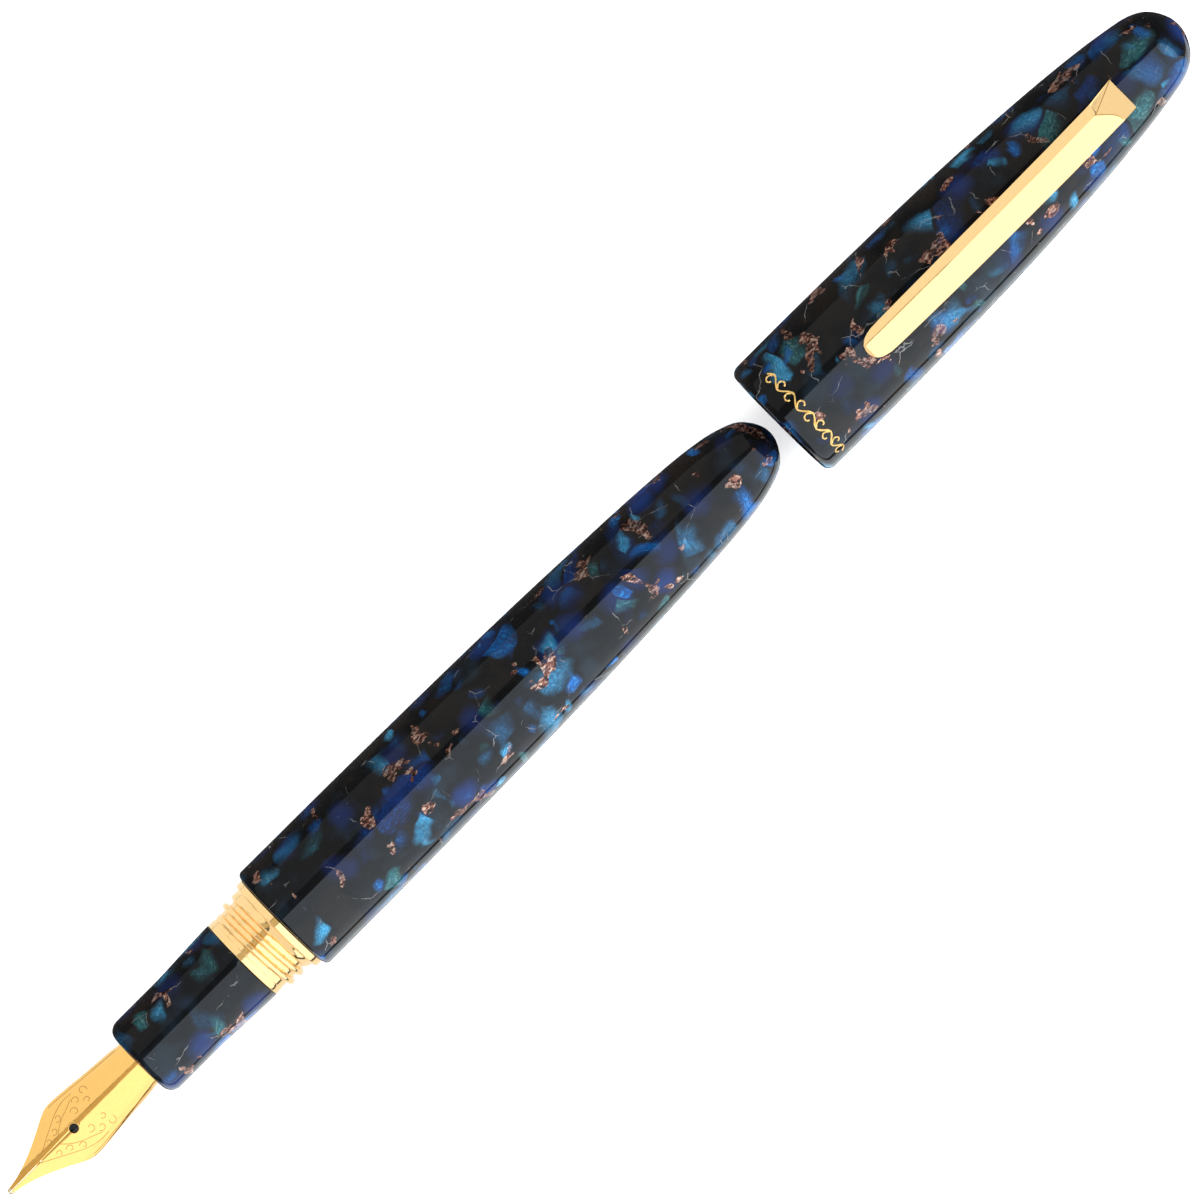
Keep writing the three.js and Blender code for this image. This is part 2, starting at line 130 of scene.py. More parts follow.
def addFloor():
    bm = bmesh.new()
    bmesh.ops.create_grid(bm, x_segments=1, y_segments=1, size=studio["floorSize"] / 2)
    bmesh.ops.translate(bm, vec=(0, 0, -studio["floorDepth"]), verts=bm.verts)
    floor = meshObject("floor", bm)
    floor.data.materials.append(plainMaterial("pale floor", studio["floorColour"], 0.9))
    # the pen mirrors the soft boxes that stand lower than the floor
    floor.visible_glossy = False
    floor.visible_shadow = False
    return floor


def addSoftBox(name, receivers):
    start, end, width, strength, tint, lights = softBoxes[name]
    start, end = Vector(start), Vector(end)
    light = bpy.data.lights.new(name, "AREA")
    light.shape = "RECTANGLE"
    light.size = width
    light.size_y = (end - start).length
    light.energy = strength * light.size * light.size_y
    light.color = tint
    box = linked(name, light)
    up = (start - end).normalized()
    side = Vector((0, 1, 0)) if abs(start.x) > 1 else Vector((1, 0, 0))
    turn = Matrix((side, up, side.cross(up))).transposed().to_4x4()
    box.matrix_world = Matrix.Translation((start + end) / 2) @ turn
    if (turn.to_3x3() @ Vector((0, 0, -1))).dot(-box.location) < 0:
        box.matrix_world = box.matrix_world @ Matrix.Rotation(math.pi, 4, "Y")
    box.visible_camera = False
    box.visible_transmission = False
    box.light_linking.receiver_collection = receivers[lights]


def addWorld():
    world = bpy.data.worlds.new("studio world")
    bpy.context.scene.world = world
    world.use_nodes = True
    tree = world.node_tree
    tree.nodes.clear()
    kinds = ("Background", "Background", "LightPath", "MixShader", "OutputWorld")
    seen, around, rays, mix, out = [tree.nodes.new("ShaderNode" + kind) for kind in kinds]
    seen.inputs["Color"].default_value = (1, 1, 1, 1)
    around.inputs["Color"].default_value = studio["dimWorld"]
    tree.links.new(rays.outputs["Is Camera Ray"], mix.inputs[0])
    tree.links.new(around.outputs[0], mix.inputs[1])
    tree.links.new(seen.outputs[0], mix.inputs[2])
    tree.links.new(mix.outputs[0], out.inputs[0])
    bpy.context.scene.view_settings.view_transform = "Standard"


def addStudio():
    # gold, the other pieces and the floor each have soft boxes of their own
    pieces = [o for o in bpy.data.objects if o.type == "MESH" and len(o.data.materials)]
    golds = (nibGold, trimGold, grooveShadeGold, foilGold, hardAlloy)
    groups = {
        "gold": [o for o in pieces if o.data.materials[0] in golds],
        "rest": [o for o in pieces if o.data.materials[0] not in golds],
        "floor": [addFloor()],
    }
    receivers = {}
    for name, members in groups.items():
        receivers[name] = bpy.data.collections.new("lit as " + name)
        for piece in members:
            receivers[name].objects.link(piece)
    for name in softBoxes:
        addSoftBox(name, receivers)
    addWorld()


# Materials.

def linear(red, green, blue):
    # a colour given as it looks on screen, 0 to 255
    values = []
    for value in (red, green, blue):
        v = value / 255
        values.append(v / 12.92 if v <= 0.04045 else ((v + 0.055) / 1.055) ** 2.4)
    return (*values, 1)


class Shader:
    # a small notebook for one material's nodes
    def __init__(self, name):
        self.material = bpy.data.materials.new(name)
        self.material.use_nodes = True
        self.tree = self.material.node_tree
        self.base = self.tree.nodes["Principled BSDF"]
        place = self.tree.nodes.new("ShaderNodeTexCoord")
        self.point = self.scaled(place.outputs["Object"], 1 / mm)

    def feed(self, socket, value):
        if isinstance(value, bpy.types.NodeSocket):
            self.tree.links.new(value, socket)
        elif hasattr(socket.default_value, "__len__") and not hasattr(value, "__len__"):
            socket.default_value = [value] * len(socket.default_value)
        else:
            socket.default_value = value

    def node(self, kind, sockets, **settings):
        made = self.tree.nodes.new("ShaderNode" + kind)
        for key, value in settings.items():
            setattr(made, key, value)
        for socket, value in sockets.items():
            self.feed(made.inputs[socket], value)
        return made

    def scaled(self, vector, factor):
        return self.node("VectorMath", {0: vector, "Scale": factor}, operation="SCALE").outputs[0]

    def vector(self, operation, a, b=(0, 0, 0)):
        made = self.node("VectorMath", {0: a, 1: b}, operation=operation)
        return made.outputs["Value" if operation == "LENGTH" else "Vector"]

    def math(self, operation, a, b=0.5, clamp=False):
        return self.node("Math", {0: a, 1: b}, operation=operation, use_clamp=clamp).outputs[0]

    def times(self, a, b, clamp=False):
        return self.math("MULTIPLY", a, b, clamp)

    def ranged(self, value, low, high, toLow=0.0, toHigh=1.0, soft=True):
        sockets = dict(enumerate((value, low, high, toLow, toHigh)))
        blend = "SMOOTHSTEP" if soft else "LINEAR"
        return self.node("MapRange", sockets, interpolation_type=blend).outputs[0]

    def noise(self, vector, scale, detail=3, roughness=0.55, distortion=0.0):
        sockets = {"Vector": vector, "Scale": scale, "Detail": detail, "Roughness": roughness}
        return self.node("TexNoise", dict(sockets, Distortion=distortion))

    def cells(self, vector, scale, feature="F1"):
        return self.node("TexVoronoi", {"Vector": vector, "Scale": scale}, feature=feature)

    def mix(self, amount, a, b):
        return self.node("Mix", {0: amount, 6: a, 7: b}, data_type="RGBA").outputs[2]

    def ramp(self, value, stops, constant=False):
        made = self.node("ValToRGB", {0: value})
        band = made.color_ramp
        if constant:
            band.interpolation = "CONSTANT"
        while len(band.elements) < len(stops):
            band.elements.new(0.5)
        for element, (place, colour) in zip(band.elements, stops):
            element.position = place
            element.color = colour
        return made.outputs[0]

    def parts(self, colour):
        return self.node("SeparateColor", {0: colour}).outputs

    def bump(self, height, distance, strength):
        return self.node("Bump", {"Strength": strength, "Distance": distance, "Height": height}).outputs[0]

    def set(self, **values):
        for name, value in values.items():
            self.feed(self.base.inputs[name.replace("_", " ")], value)
        return self


def plainMaterial(name, colour, roughness):
    shader = Shader(name)
    grain = shader.noise(shader.point, 0.08, 4).outputs[0]
    light = [min(1, c * 1.02) for c in colour]
    dark = [c * 0.98 for c in colour]
    shader.set(Base_Color=shader.mix(grain, (*dark, 1), (*light, 1)), Roughness=roughness)
    return shader.material


# two layers of pearl flakes: size is in mm from one flake to the next, share is how many of them show,
# and kinds gives each kind's colour and the paler one of its streaks
petalLayer = {
    "shift": (31.0, 17.0, 5.0),
    "size": 4.6,
    "narrow": (0.5, 1.05, 0.8),
    "share": 0.6,
    "kinds": [(0, "teal", "jade"), (0.13, "ultramarine", "blue")]
    + [(0.34, "blue", "cyan"), (0.64, "cyan", "ice")],
}
glintLayer = {
    "shift": (3.0, 70.0, 15.0),
    "size": 3.0,
    "narrow": (0.6, 1.5, 1.1),
    "share": 0.34,
    "kinds": [(0, "blue", "cyan"), (0.4, "cyan", "ice"), (0.8, "teal", "jade")],
}

resinLook = {
    "blobSize": 5.0,
    "crackSize": 5.2,
    "warp": 0.9,
    "night": linear(22, 22, 22),
    "umber": linear(34, 30, 26),
    "slate": linear(34, 44, 52),
    "navy": linear(30, 38, 76),
    "ultramarine": linear(32, 58, 118),
    "deepBlue": linear(22, 72, 140),
    "blue": linear(24, 112, 194),
    "cyan": linear(72, 178, 226),
    "ice": linear(150, 212, 232),
    "teal": linear(48, 112, 116),
    "jade": linear(132, 178, 172),
    # painted shade and painted highlight of the crumpled copper leaf, either side of its own copper
    "copperShade": linear(84, 42, 30),
    "copper": linear(166, 100, 74),
    "copperHighlight": linear(238, 202, 180),
    "silver": linear(176, 170, 164),
}


def resinMaterial(name, offset):
    look = resinLook
    shader = Shader(name)
    noise, vector, scaled = shader.noise, shader.vector, shader.scaled
    times, ranged, mix = shader.times, shader.ranged, shader.mix
    place = vector("ADD", shader.point, offset)
    middle = (0.5, 0.5, 0.5)
    drift = vector("SUBTRACT", noise(place, 0.3, 1).outputs["Color"], middle)
    warped = vector("ADD", place, scaled(drift, 2 * look["warp"]))
    fine = vector("SUBTRACT", noise(place, 1.3, 3).outputs["Color"], middle)
    ragged = vector("ADD", warped, scaled(fine, 0.6))

    def flakes(layer):
        # rounded flakes of pearl: how much of one shows at a place, its colour and its own lean
        size, share = layer["size"], layer["share"]
        spot = vector("ADD", warped, layer["shift"])
        chip = shader.cells(spot, 1 / size)
        random = shader.parts(chip.outputs["Color"])
        inside = vector("SUBTRACT", spot, chip.outputs["Position"])
        turn = {"Vector": inside, "Rotation": scaled(chip.outputs["Color"], 6.2)}
        flake = shader.node("VectorRotate", turn, rotation_type="EULER_XYZ").outputs[0]
        reach = vector("LENGTH", vector("MULTIPLY", flake, layer["narrow"]))
        edge = shader.cells(spot, 1 / size, "DISTANCE_TO_EDGE").outputs["Distance"]
        streak = noise(vector("MULTIPLY", flake, (0.7, 6.0, 3.0)), 1.0, 4, 0.6).outputs[0]
        grain = noise(spot, 3.4, 3, 0.7).outputs[0]
        wobble = noise(spot, 1.4 / size, 2).outputs[0]
        frayed = shader.math("ADD", reach, times(streak, 0.2 * size))
        frayed = shader.math("ADD", frayed, times(wobble, 0.6 * size))
        # a flake that lies deep in the resin is dimmer, bluer and softer at its rim
        depth = ranged(random[1], 0.1, 0.7, 0.55, 1.35, soft=False)
        blur = ranged(random[1], 0.1, 0.9, 0.32 * size, 0.12 * size, soft=False)
        inner = shader.math("SUBTRACT", 0.72 * size, blur)
        outer = shader.math("ADD", 0.72 * size, blur)
        rounded = ranged(frayed, inner, outer, 1.0, 0.0)
        rim = times(blur, 0.4 / size)
        shape = times(rounded, ranged(edge, 0.005, rim))
        chosen = ranged(random[2], 1 - share, 1.02 - share)
        fall = ranged(shader.parts(flake)[1], -0.3 * size, 0.3 * size, 0.0, 1.2)
        glow = times(fall, ranged(streak, 0.3, 0.7, 0.45, 1.2))
        glow = times(glow, ranged(grain, 0.35, 0.65, 0.7, 1.15))
        glow = times(glow, depth)
        show = times(times(shape, chosen), glow, clamp=True)
        colour = shader.ramp(random[0], [(k[0], look[k[1]]) for k in layer["kinds"]], constant=True)
        paler = shader.ramp(random[0], [(k[0], look[k[2]]) for k in layer["kinds"]], constant=True)
        colour = mix(ranged(streak, 0.5, 0.7, 0.0, 0.6), colour, paler)
        colour = mix(ranged(random[1], 0.1, 0.55, 0.6, 0.0), colour, look["deepBlue"])
        return show, colour, chip.outputs["Color"]

    # ground: near-black resin, in places umber or slate
    cloud = noise(place, 0.14, 3).outputs[0]
    colour = mix(ranged(cloud, 0.4, 0.52), look["umber"], look["night"])
    colour = mix(ranged(cloud, 0.54, 0.7), colour, look["slate"])

    # deep blurred blobs of blue
    blobPlace = vector("ADD", warped, (21.0, 4.0, 40.0))
    blob = shader.cells(blobPlace, 1 / look["blobSize"])
    blobRandom = shader.parts(blob.outputs["Color"])
    blobShow = ranged(blob.outputs["Distance"], 0.12, 0.5, 0.85, 0.0)
    blobShow = times(blobShow, ranged(blobRandom[1], 0.42, 0.5))
    blobColour = mix(blobRandom[0], look["navy"], look["ultramarine"])
    colour = mix(blobShow, colour, blobColour)

    # petals of pearl, then smaller and brighter glints
    petalShow, petalColour, petalLean = flakes(petalLayer)
    colour = mix(petalShow, colour, petalColour)
    glintShow, glintColour = flakes(glintLayer)[:2]
    colour = mix(glintShow, colour, glintColour)

    # crumpled copper leaf that swells where cracks meet and runs out along them, its crumples shown by
    # painted highlight and painted shade
    crackPlace = vector("ADD", ragged, (3.0, 50.0, 9.0))
    crackFar = shader.cells(crackPlace, 1 / look["crackSize"], "DISTANCE_TO_EDGE").outputs["Distance"]
    swell = noise(vector("ADD", place, (7.0, 7.0, 7.0)), 0.24, 2).outputs[0]
    room = ranged(swell, 0.53, 0.72, -0.03, 0.17)
    crumple = noise(ragged, 1.1, 5, 0.65, 0.5).outputs[0]
    spread = shader.math("ADD", room, times(shader.math("SUBTRACT", crumple), 0.12))
    leaf = ranged(shader.math("SUBTRACT", spread, crackFar), -0.004, 0.012)
    # the crumples are painted into the leaf's colour: pale copper is painted highlight on the folds, dark
    # copper is painted shade in the creases
    crease = noise(vector("MULTIPLY", ragged, (1.0, 2.2, 1.4)), 1.35, 4, 0.62, 0.8).outputs[0]
    leafStops = [(0.39, "night"), (0.45, "copperShade"), (0.52, "copper"), (0.61, "copperHighlight")]
    leafColour = shader.ramp(crease, [(stop, look[name]) for stop, name in leafStops])
    leafDepth = ranged(noise(place, 0.42, 2).outputs[0], 0.4, 0.58, 0.5, 0.97)
    colour = mix(times(leaf, leafDepth), colour, leafColour)

    # hair-thin silver cracks
    crackHere = ranged(noise(place, 0.33, 2).outputs[0], 0.54, 0.66)
    crack = times(ranged(crackFar, 0.004, 0.013, 0.6, 0.0), crackHere)
    colour = mix(crack, colour, look["silver"])

    # each flake leans its own way under the clear coat
    shape = shader.node("NewGeometry", {})
    lean = scaled(vector("SUBTRACT", petalLean, middle), 0.5)
    leaning = vector("NORMALIZE", vector("ADD", shape.outputs["Normal"], lean))
    pearl = times(shader.math("MAXIMUM", petalShow, glintShow), 0.5)
    shader.set(
        Base_Color=colour,
        Metallic=shader.math("MAXIMUM", pearl, times(leaf, 0.55)),
        Roughness=0.36,
        Specular_IOR_Level=0.0,
        Normal=leaning,
        Coat_Weight=1.0,
        Coat_Roughness=0.015,
        Coat_IOR=1.42,
    )
    return shader.material


def metalMaterial(name, colour, roughness, scratch=0.02, grainAlong=(0.2, 3.0, 3.0)):
    shader = Shader(name)
    grain = shader.noise(shader.vector("MULTIPLY", shader.point, grainAlong), 4.0, 4).outputs[0]
    tone = [c * 0.94 for c in colour[:3]] + [1]
    shader.set(
        Base_Color=shader.mix(shader.ranged(grain, 0.4, 0.6), tone, colour),
        Metallic=1.0,
        Roughness=shader.ranged(grain, 0.3, 0.7, roughness * 0.75, roughness * 1.3),
        Normal=shader.bump(grain, scratch * mm, 0.4),
    )
    return shader.material


def mouldedMaterial(name, colour, roughness, bumpSize=0.012):
    shader = Shader(name)
    speckle = shader.noise(shader.point, 5.0, 5, 0.6).outputs[0]
    patch = shader.noise(shader.point, 0.3, 3).outputs[0]
    light = [min(1, c * 1.35 + 0.002) for c in colour[:3]] + [1]
    shader.set(
        Base_Color=shader.mix(patch, colour, light),
        Roughness=shader.ranged(patch, 0.3, 0.7, roughness * 0.85, roughness * 1.15),
        Normal=shader.bump(speckle, bumpSize * mm, 0.5),
    )
    return shader.material


def clearMaterial():
    shader = Shader("clear converter plastic")
    patch = shader.noise(shader.point, 0.3, 3).outputs[0]
    shader.set(
        Base_Color=shader.mix(patch, (0.93, 0.96, 0.97, 1), (1, 1, 1, 1)),
        Roughness=0.05,
        Transmission_Weight=1.0,
        IOR=1.46,
    )
    return shader.material


barrelResin = resinMaterial("marbled resin of the barrel", (0.0, 0.0, 0.0))
gripResin = resinMaterial("marbled resin of the grip", (13.0, 4.0, 2.0))
capResin = resinMaterial("marbled resin of the cap", (5.0, 40.0, 11.0))
nibGold = metalMaterial("polished gold of the nib", (1.0, 0.63, 0.21, 1), 0.09, 0.006)
trimGold = metalMaterial("polished gold plate", (1.0, 0.73, 0.37, 1), 0.08, 0.006)
# dark gold for the fine lines on the nib and the clip: painted shade of engraved and scored grooves
grooveShadeGold = metalMaterial("painted groove shade in the gold", (0.42, 0.24, 0.07, 1), 0.35)
foilGold = metalMaterial("gold foil", (0.95, 0.66, 0.25, 1), 0.28, 0.03, (2.0, 2.0, 2.0))
hardAlloy = metalMaterial("tipping alloy", (0.66, 0.58, 0.42, 1), 0.2)
turnedSteel = metalMaterial("fine turned steel", (0.6, 0.61, 0.63, 1), 0.22, 0.03, (6.0, 0.4, 0.4))
turnedBrass = metalMaterial("fine turned brass", (0.72, 0.52, 0.24, 1), 0.24, 0.03, (6.0, 0.4, 0.4))
springSteel = metalMaterial("spring steel", (0.55, 0.56, 0.58, 1), 0.25)
blackPlastic = mouldedMaterial("satin black plastic", (0.012, 0.012, 0.013, 1), 0.36)
greyPlastic = mouldedMaterial("satin grey plastic", (0.32, 0.33, 0.35, 1), 0.4)
blackRubber = mouldedMaterial("black rubber", (0.018, 0.018, 0.019, 1), 0.7, 0.02)
clearPlastic = clearMaterial()
print("stage: materials made")


# Ways of making shapes, used by all the pieces.

bevelled = {"profile": 0.5, "affect": "EDGES", "material": -1}


def toMetres(bm):
    bmesh.ops.translate(bm, vec=(0, 0, axisHeight), verts=bm.verts)
    bmesh.ops.scale(bm, vec=(mm, mm, mm), verts=bm.verts)


def makeObject(name, bm, material, body, nodes=(), sharp=32, merge=True):
    if merge:
        bmesh.ops.remove_doubles(bm, verts=bm.verts, dist=1e-4)
        bmesh.ops.recalc_face_normals(bm, faces=bm.faces)
    toMetres(bm)
    made = meshObject(name, bm)
    made.data.shade_smooth()
    made.data.set_sharp_from_angle(angle=math.radians(sharp))
    made.data.materials.append(material)
    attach(made, body)
    if nodes:
        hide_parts(*nodes)
    return made


def everything(bm):
    return bm.verts[:] + bm.edges[:] + bm.faces[:]


def turnToClip(bm):
    # the clip sits a little round the cap from its top
    bmesh.ops.rotate(bm, cent=(0, 0, 0), matrix=Matrix.Rotation(clipRoll, 3, "X"), verts=bm.verts)


def faceUp(bm):
    bmesh.ops.recalc_face_normals(bm, faces=bm.faces)
    if sum(f.normal.z for f in bm.faces) < 0:
        bmesh.ops.reverse_faces(bm, faces=bm.faces)


def softEdge(made, width, segments, angle):
    edge = made.modifiers.new("edge", "BEVEL")
    edge.width = width * mm
    edge.segments = segments
    edge.limit_method = "ANGLE"
    edge.angle_limit = math.radians(angle)


def addWall(made, thickness, even=False):
    wall = made.modifiers.new("wall", "SOLIDIFY")
    wall.thickness = thickness * mm
    wall.offset = -1
    wall.use_even_offset = even


def at(x, points):
    # places of a profile, (along, radius), counted from x
    return [(x + along, radius) for along, radius in points]


def arcPoints(centreX, centreR, sizeX, sizeR, start, end, count=6):
    points = []
    for i in range(count + 1):
        a = math.radians(start + (end - start) * i / count)
        points.append((centreX + sizeX * math.cos(a), centreR + sizeR * math.sin(a)))
    return points


def smoothLine(points, perSpan=6, endUpright=False):
    # a soft line through chosen points; endUpright makes it cross the axis squarely
    points = [Vector((x, r, 0)) for x, r in points]
    lean = []
    for i in range(len(points)):
        before = points[max(i - 1, 0)]
        after = points[min(i + 1, len(points) - 1)]
        lean.append((after - before).normalized())
    if endUpright:
        lean[-1] = Vector((0, -1, 0))
    line = []
    for i in range(len(points) - 1):
        a, b = points[i], points[i + 1]
        reach = (b - a).length * 0.36
        span = interpolate_bezier(a, a + lean[i] * reach, b - lean[i + 1] * reach, b, perSpan + 1)
        line += [(p.x, p.y) for p in (span if i == 0 else span[1:])]
    return line


def stepped(fromX, toX, radius, step):
    # evenly spaced points along a plain stretch, for a thread to be raised on
    count = max(1, round((toX - fromX) / step))
    return [(fromX + (toX - fromX) * i / count, radius) for i in range(count + 1)]


def turned(profile, steps=96, soften=0.06):
    # turns a profile of (x, radius) about the pen's axis; one that touches the axis is closed there
    bm = bmesh.new()
    points = [bm.verts.new((x, 0, r)) for x, r in profile]
    lines = [bm.edges.new(pair) for pair in zip(points, points[1:])]
    if min(r for x, r in profile) > 0:
        lines.append(bm.edges.new((points[-1], points[0])))
    fullTurn = {"cent": (0, 0, 0), "axis": (1, 0, 0), "dvec": (0, 0, 0), "angle": 2 * math.pi}
    bmesh.ops.spin(bm, geom=points + lines, steps=steps, use_merge=True, **fullTurn)
    bmesh.ops.remove_doubles(bm, verts=bm.verts, dist=1e-4)
    bmesh.ops.recalc_face_normals(bm, faces=bm.faces)
    if soften:
        corners = [e for e in bm.edges if e.is_manifold and e.calc_face_angle() > math.radians(30)]
        bmesh.ops.bevel(bm, geom=corners, offset=soften, segments=2, clamp_overlap=True, **bevelled)
    return bm


def raiseThread(bm, thread):
    # lifts a round-backed helical ridge out of the surface, or into a bore when inward is set
    sign = -1 if thread.get("inward") else 1
    for vert in bm.verts:
        x, y, z = vert.co
        radius = math.hypot(y, z)
        if radius < thread["low"] or radius > thread["high"]:
            continue
        around = (math.atan2(z, y) / (2 * math.pi)) % 1
        lift = 0
        for whole in range(-1, math.ceil(thread["turns"]) + 1):
            along = around + whole
            if along < 0 or along > thread["turns"]:
                continue
            off = abs(x - thread["start"] - thread["pitch"] * along) / thread["halfWidth"]
            if off < 1:
                fade = min(1, min(along, thread["turns"] - along) / 0.1)
                lift = max(lift, thread["height"] * math.sqrt(1 - off * off) * fade)
        if lift:
            reach = sign * max(0, sign * (thread["root"] + sign * lift - radius)) + radius
            vert.co.y *= reach / radius
            vert.co.z *= reach / radius


# The barrel and its thread collar.

barrelShape = {
    "mouth": 0.66,  # rounding of the front edge
    "taper": [(0.66, 7.6), (19.9, 7.5), (42.9, 7.14), (58.9, 6.56)]
    + [(68.9, 6.02), (74.9, 5.42), (78.9, 4.5), (81.4, 3.1)],
    "seat": 6.55,
    "seatDepth": 8.5,
    "bore": 5.4,
    "rearBore": 4.7,
    "drill": [(73.8, 0), (73.2, 2)],  # the cone that the bore ends in
}


def makeBarrel():
    shape = barrelShape
    x = barrelFront
    depth, bore, rear, seat = shape["seatDepth"], shape["bore"], shape["rearBore"], shape["seat"]
    profile = at(x, shape["drill"] + [(70.8, rear), (55.9, rear), (47.9, bore)])
    profile += at(x, [(depth, bore), (depth, seat), (0, seat)])
    profile += arcPoints(x + shape["mouth"], 7.0, shape["mouth"], 0.6, 180, 96)
    profile += smoothLine(at(x, shape["taper"]) + [(barrelEnd, 0)], 7, endUpright=True)
    bm = turned(profile, 128, 0)
    makeObject("barrel_resin", bm, barrelResin, "barrel", ["barrel"])


collarShape = {
    "ring": 5.8,
    "root": 5.72,
    "flange": 6.83,
    "spigot": 6.5,
    "bore": 4.92,
    "thread": {
        "start": 1.67,
        "pitch": 1.5,
        "turns": 2.3,
        "halfWidth": 0.47,
        "height": 0.62,
        "root": 5.72,
        "low": 5.6,
        "high": 6.5,
    },
}


def makeCollar():
    shape = collarShape
    x = collarFront
    profile = at(x, [(0, shape["bore"]), (0, 5.6)])
    profile += arcPoints(x + 0.18, 5.62, 0.18, 0.18, 180, 90, 4)
    profile += at(x, [(0.9, shape["ring"]), (0.96, shape["root"] + 0.02), (1.0, shape["root"])])
    profile += stepped(x + 1.05, x + 4.7, shape["root"], 0.055)
    profile += at(x, [(4.8, 5.95), (4.86, 6.03), (5.55, 6.3), (5.66, 6.36), (5.7, 6.62)])
    profile += arcPoints(x + 5.92, shape["flange"] - 0.2, 0.2, 0.2, 170, 90, 4)
    profile += arcPoints(collarEnd - 8.42, shape["flange"] - 0.16, 0.14, 0.16, 90, 0, 3)
    profile += at(collarEnd, [(-8.28, shape["spigot"]), (0, shape["spigot"]), (0, shape["bore"])])
    bm = turned(profile, 192, 0)
    raiseThread(bm, dict(shape["thread"], start=x + shape["thread"]["start"]))
    makeObject("collar_gold", bm, trimGold, "barrel", ["thread_collar"], sharp=50)


makeBarrel()
makeCollar()
print("stage: barrel and collar made")


# The grip section and its tenon.

gripShape = {
    "nose": 1.6,
    "face": 4.2,
    "waist": 5.475,
    "back": [(2.6, 5.475), (8.9, 5.475), (11.7, 5.6), (14.6, 5.73), (17.1, 5.81)],
    "housingBore": 3.95,
    "tenonBore": 3.8,
    "tenonSeat": 4.55,
}


def makeGrip():
    shape = gripShape
    x = gripFront
    profile = [(x, shape["housingBore"])]
    nose, face = shape["nose"], shape["face"]
    profile += arcPoints(x + nose, face, nose, shape["waist"] - face, 180, 90, 10)
    profile += smoothLine(at(x, shape["back"]), 5)
    profile += arcPoints(gripBack - 0.15, 5.66, 0.15, 0.15, 80, 0, 3)
    seat, bore = shape["tenonSeat"], shape["tenonBore"]
    profile += at(gripBack, [(0, seat), (-4.4, seat), (-4.4, bore)])
    profile += at(x, [(11.05, bore), (11.05, shape["housingBore"])])
    bm = turned(profile, 112, 0)
    makeObject("grip_resin", bm, gripResin, "grip", ["grip_section"])


tenonShape = {
    "bore": 3.8,
    "spigot": 4.5,
    "spigotLength": 4.32,
    "root": 4.56,
    "thread": {"pitch": 0.8, "turns": 8.2, "halfWidth": 0.36, "height": 0.28, "low": 4.55, "high": 4.9},
}


def makeTenon():
    start, end = spanOf("section_tenon")
    bore, spigot, root = tenonShape["bore"], tenonShape["spigot"], tenonShape["root"]
    collar = start + tenonShape["spigotLength"]
    profile = [(start, bore), (start, spigot), (collar, spigot), (collar, root)]
    profile += stepped(collar + 0.3, collar + 7.6, root, 0.06)
    profile += [(collar + 8.2, spigot), (end - 0.3, spigot), (end, 4.3), (end, bore)]
    bm = turned(profile, 96, 0)
    raiseThread(bm, dict(tenonShape["thread"], start=collar + 0.6, root=root))
    makeObject("tenon_steel", bm, turnedSteel, "grip", ["section_tenon"], sharp=50)


makeGrip()
makeTenon()
print("stage: grip made")


# The nib unit.

nibShape = {
    "base": gripFront - 0.45,  # half a tube behind this, opening out ahead of it
    "radius": 3.3,
    "tipRadius": 6.6,
    "length": 21.7,
    "fall": 0.095,
    "thickness": 0.34,
    "slit": 0.045,  # half of its width at the breather hole
    "slitPoint": 0.014,  # and at the point
    "breather": 0.6,
    "breatherX": nibPoint + 10.56,
    "frontEdge": [(0, 0.42), (1.7, 0.74), (4.1, 1.56), (6.5, 2.66), (8.6, 3.78)],
    "backEdge": [(9.4, 4.1), (10.4, 4.24), (13.1, 4.05), (16.1, 3.75)]
    + [(18.6, 3.58), (21, 3.45), (30.5, 3.45)],
}
nibOutline = smoothLine(at(nibPoint, nibShape["frontEdge"] + nibShape["backEdge"]), 8)


def nibRadiusAt(x):
    ahead = max(0, nibShape["base"] - x)
    return nibShape["radius"] + (nibShape["tipRadius"] - nibShape["radius"]) * ahead / nibShape["length"]


def nibCentreAt(x):
    ahead = max(0, nibShape["base"] - x)
    return nibShape["radius"] - nibShape["fall"] * ahead - nibRadiusAt(x)


def widthAt(outline, x):
    for (x0, w0), (x1, w1) in zip(outline, outline[1:]):
        if x <= x1:
            return w0 + (w1 - w0) * max(0, x - x0) / (x1 - x0)
    return outline[-1][1]


def slitAt(x):
    # the slit closes towards the point
    wide, fine = nibShape["slit"], nibShape["slitPoint"]
    return fine + (wide - fine) * (x - nibPoint) / (nibShape["breatherX"] - nibPoint)


def onNib(x, y, lift=0.0):
    # a place on the nib's outer face, lifted off it a little
    radius = nibRadiusAt(x)
    lean = math.asin(max(-1, min(1, y / radius)))
    reach = radius + lift
    return Vector((x, reach * math.sin(lean), nibCentreAt(x) + reach * math.cos(lean)))


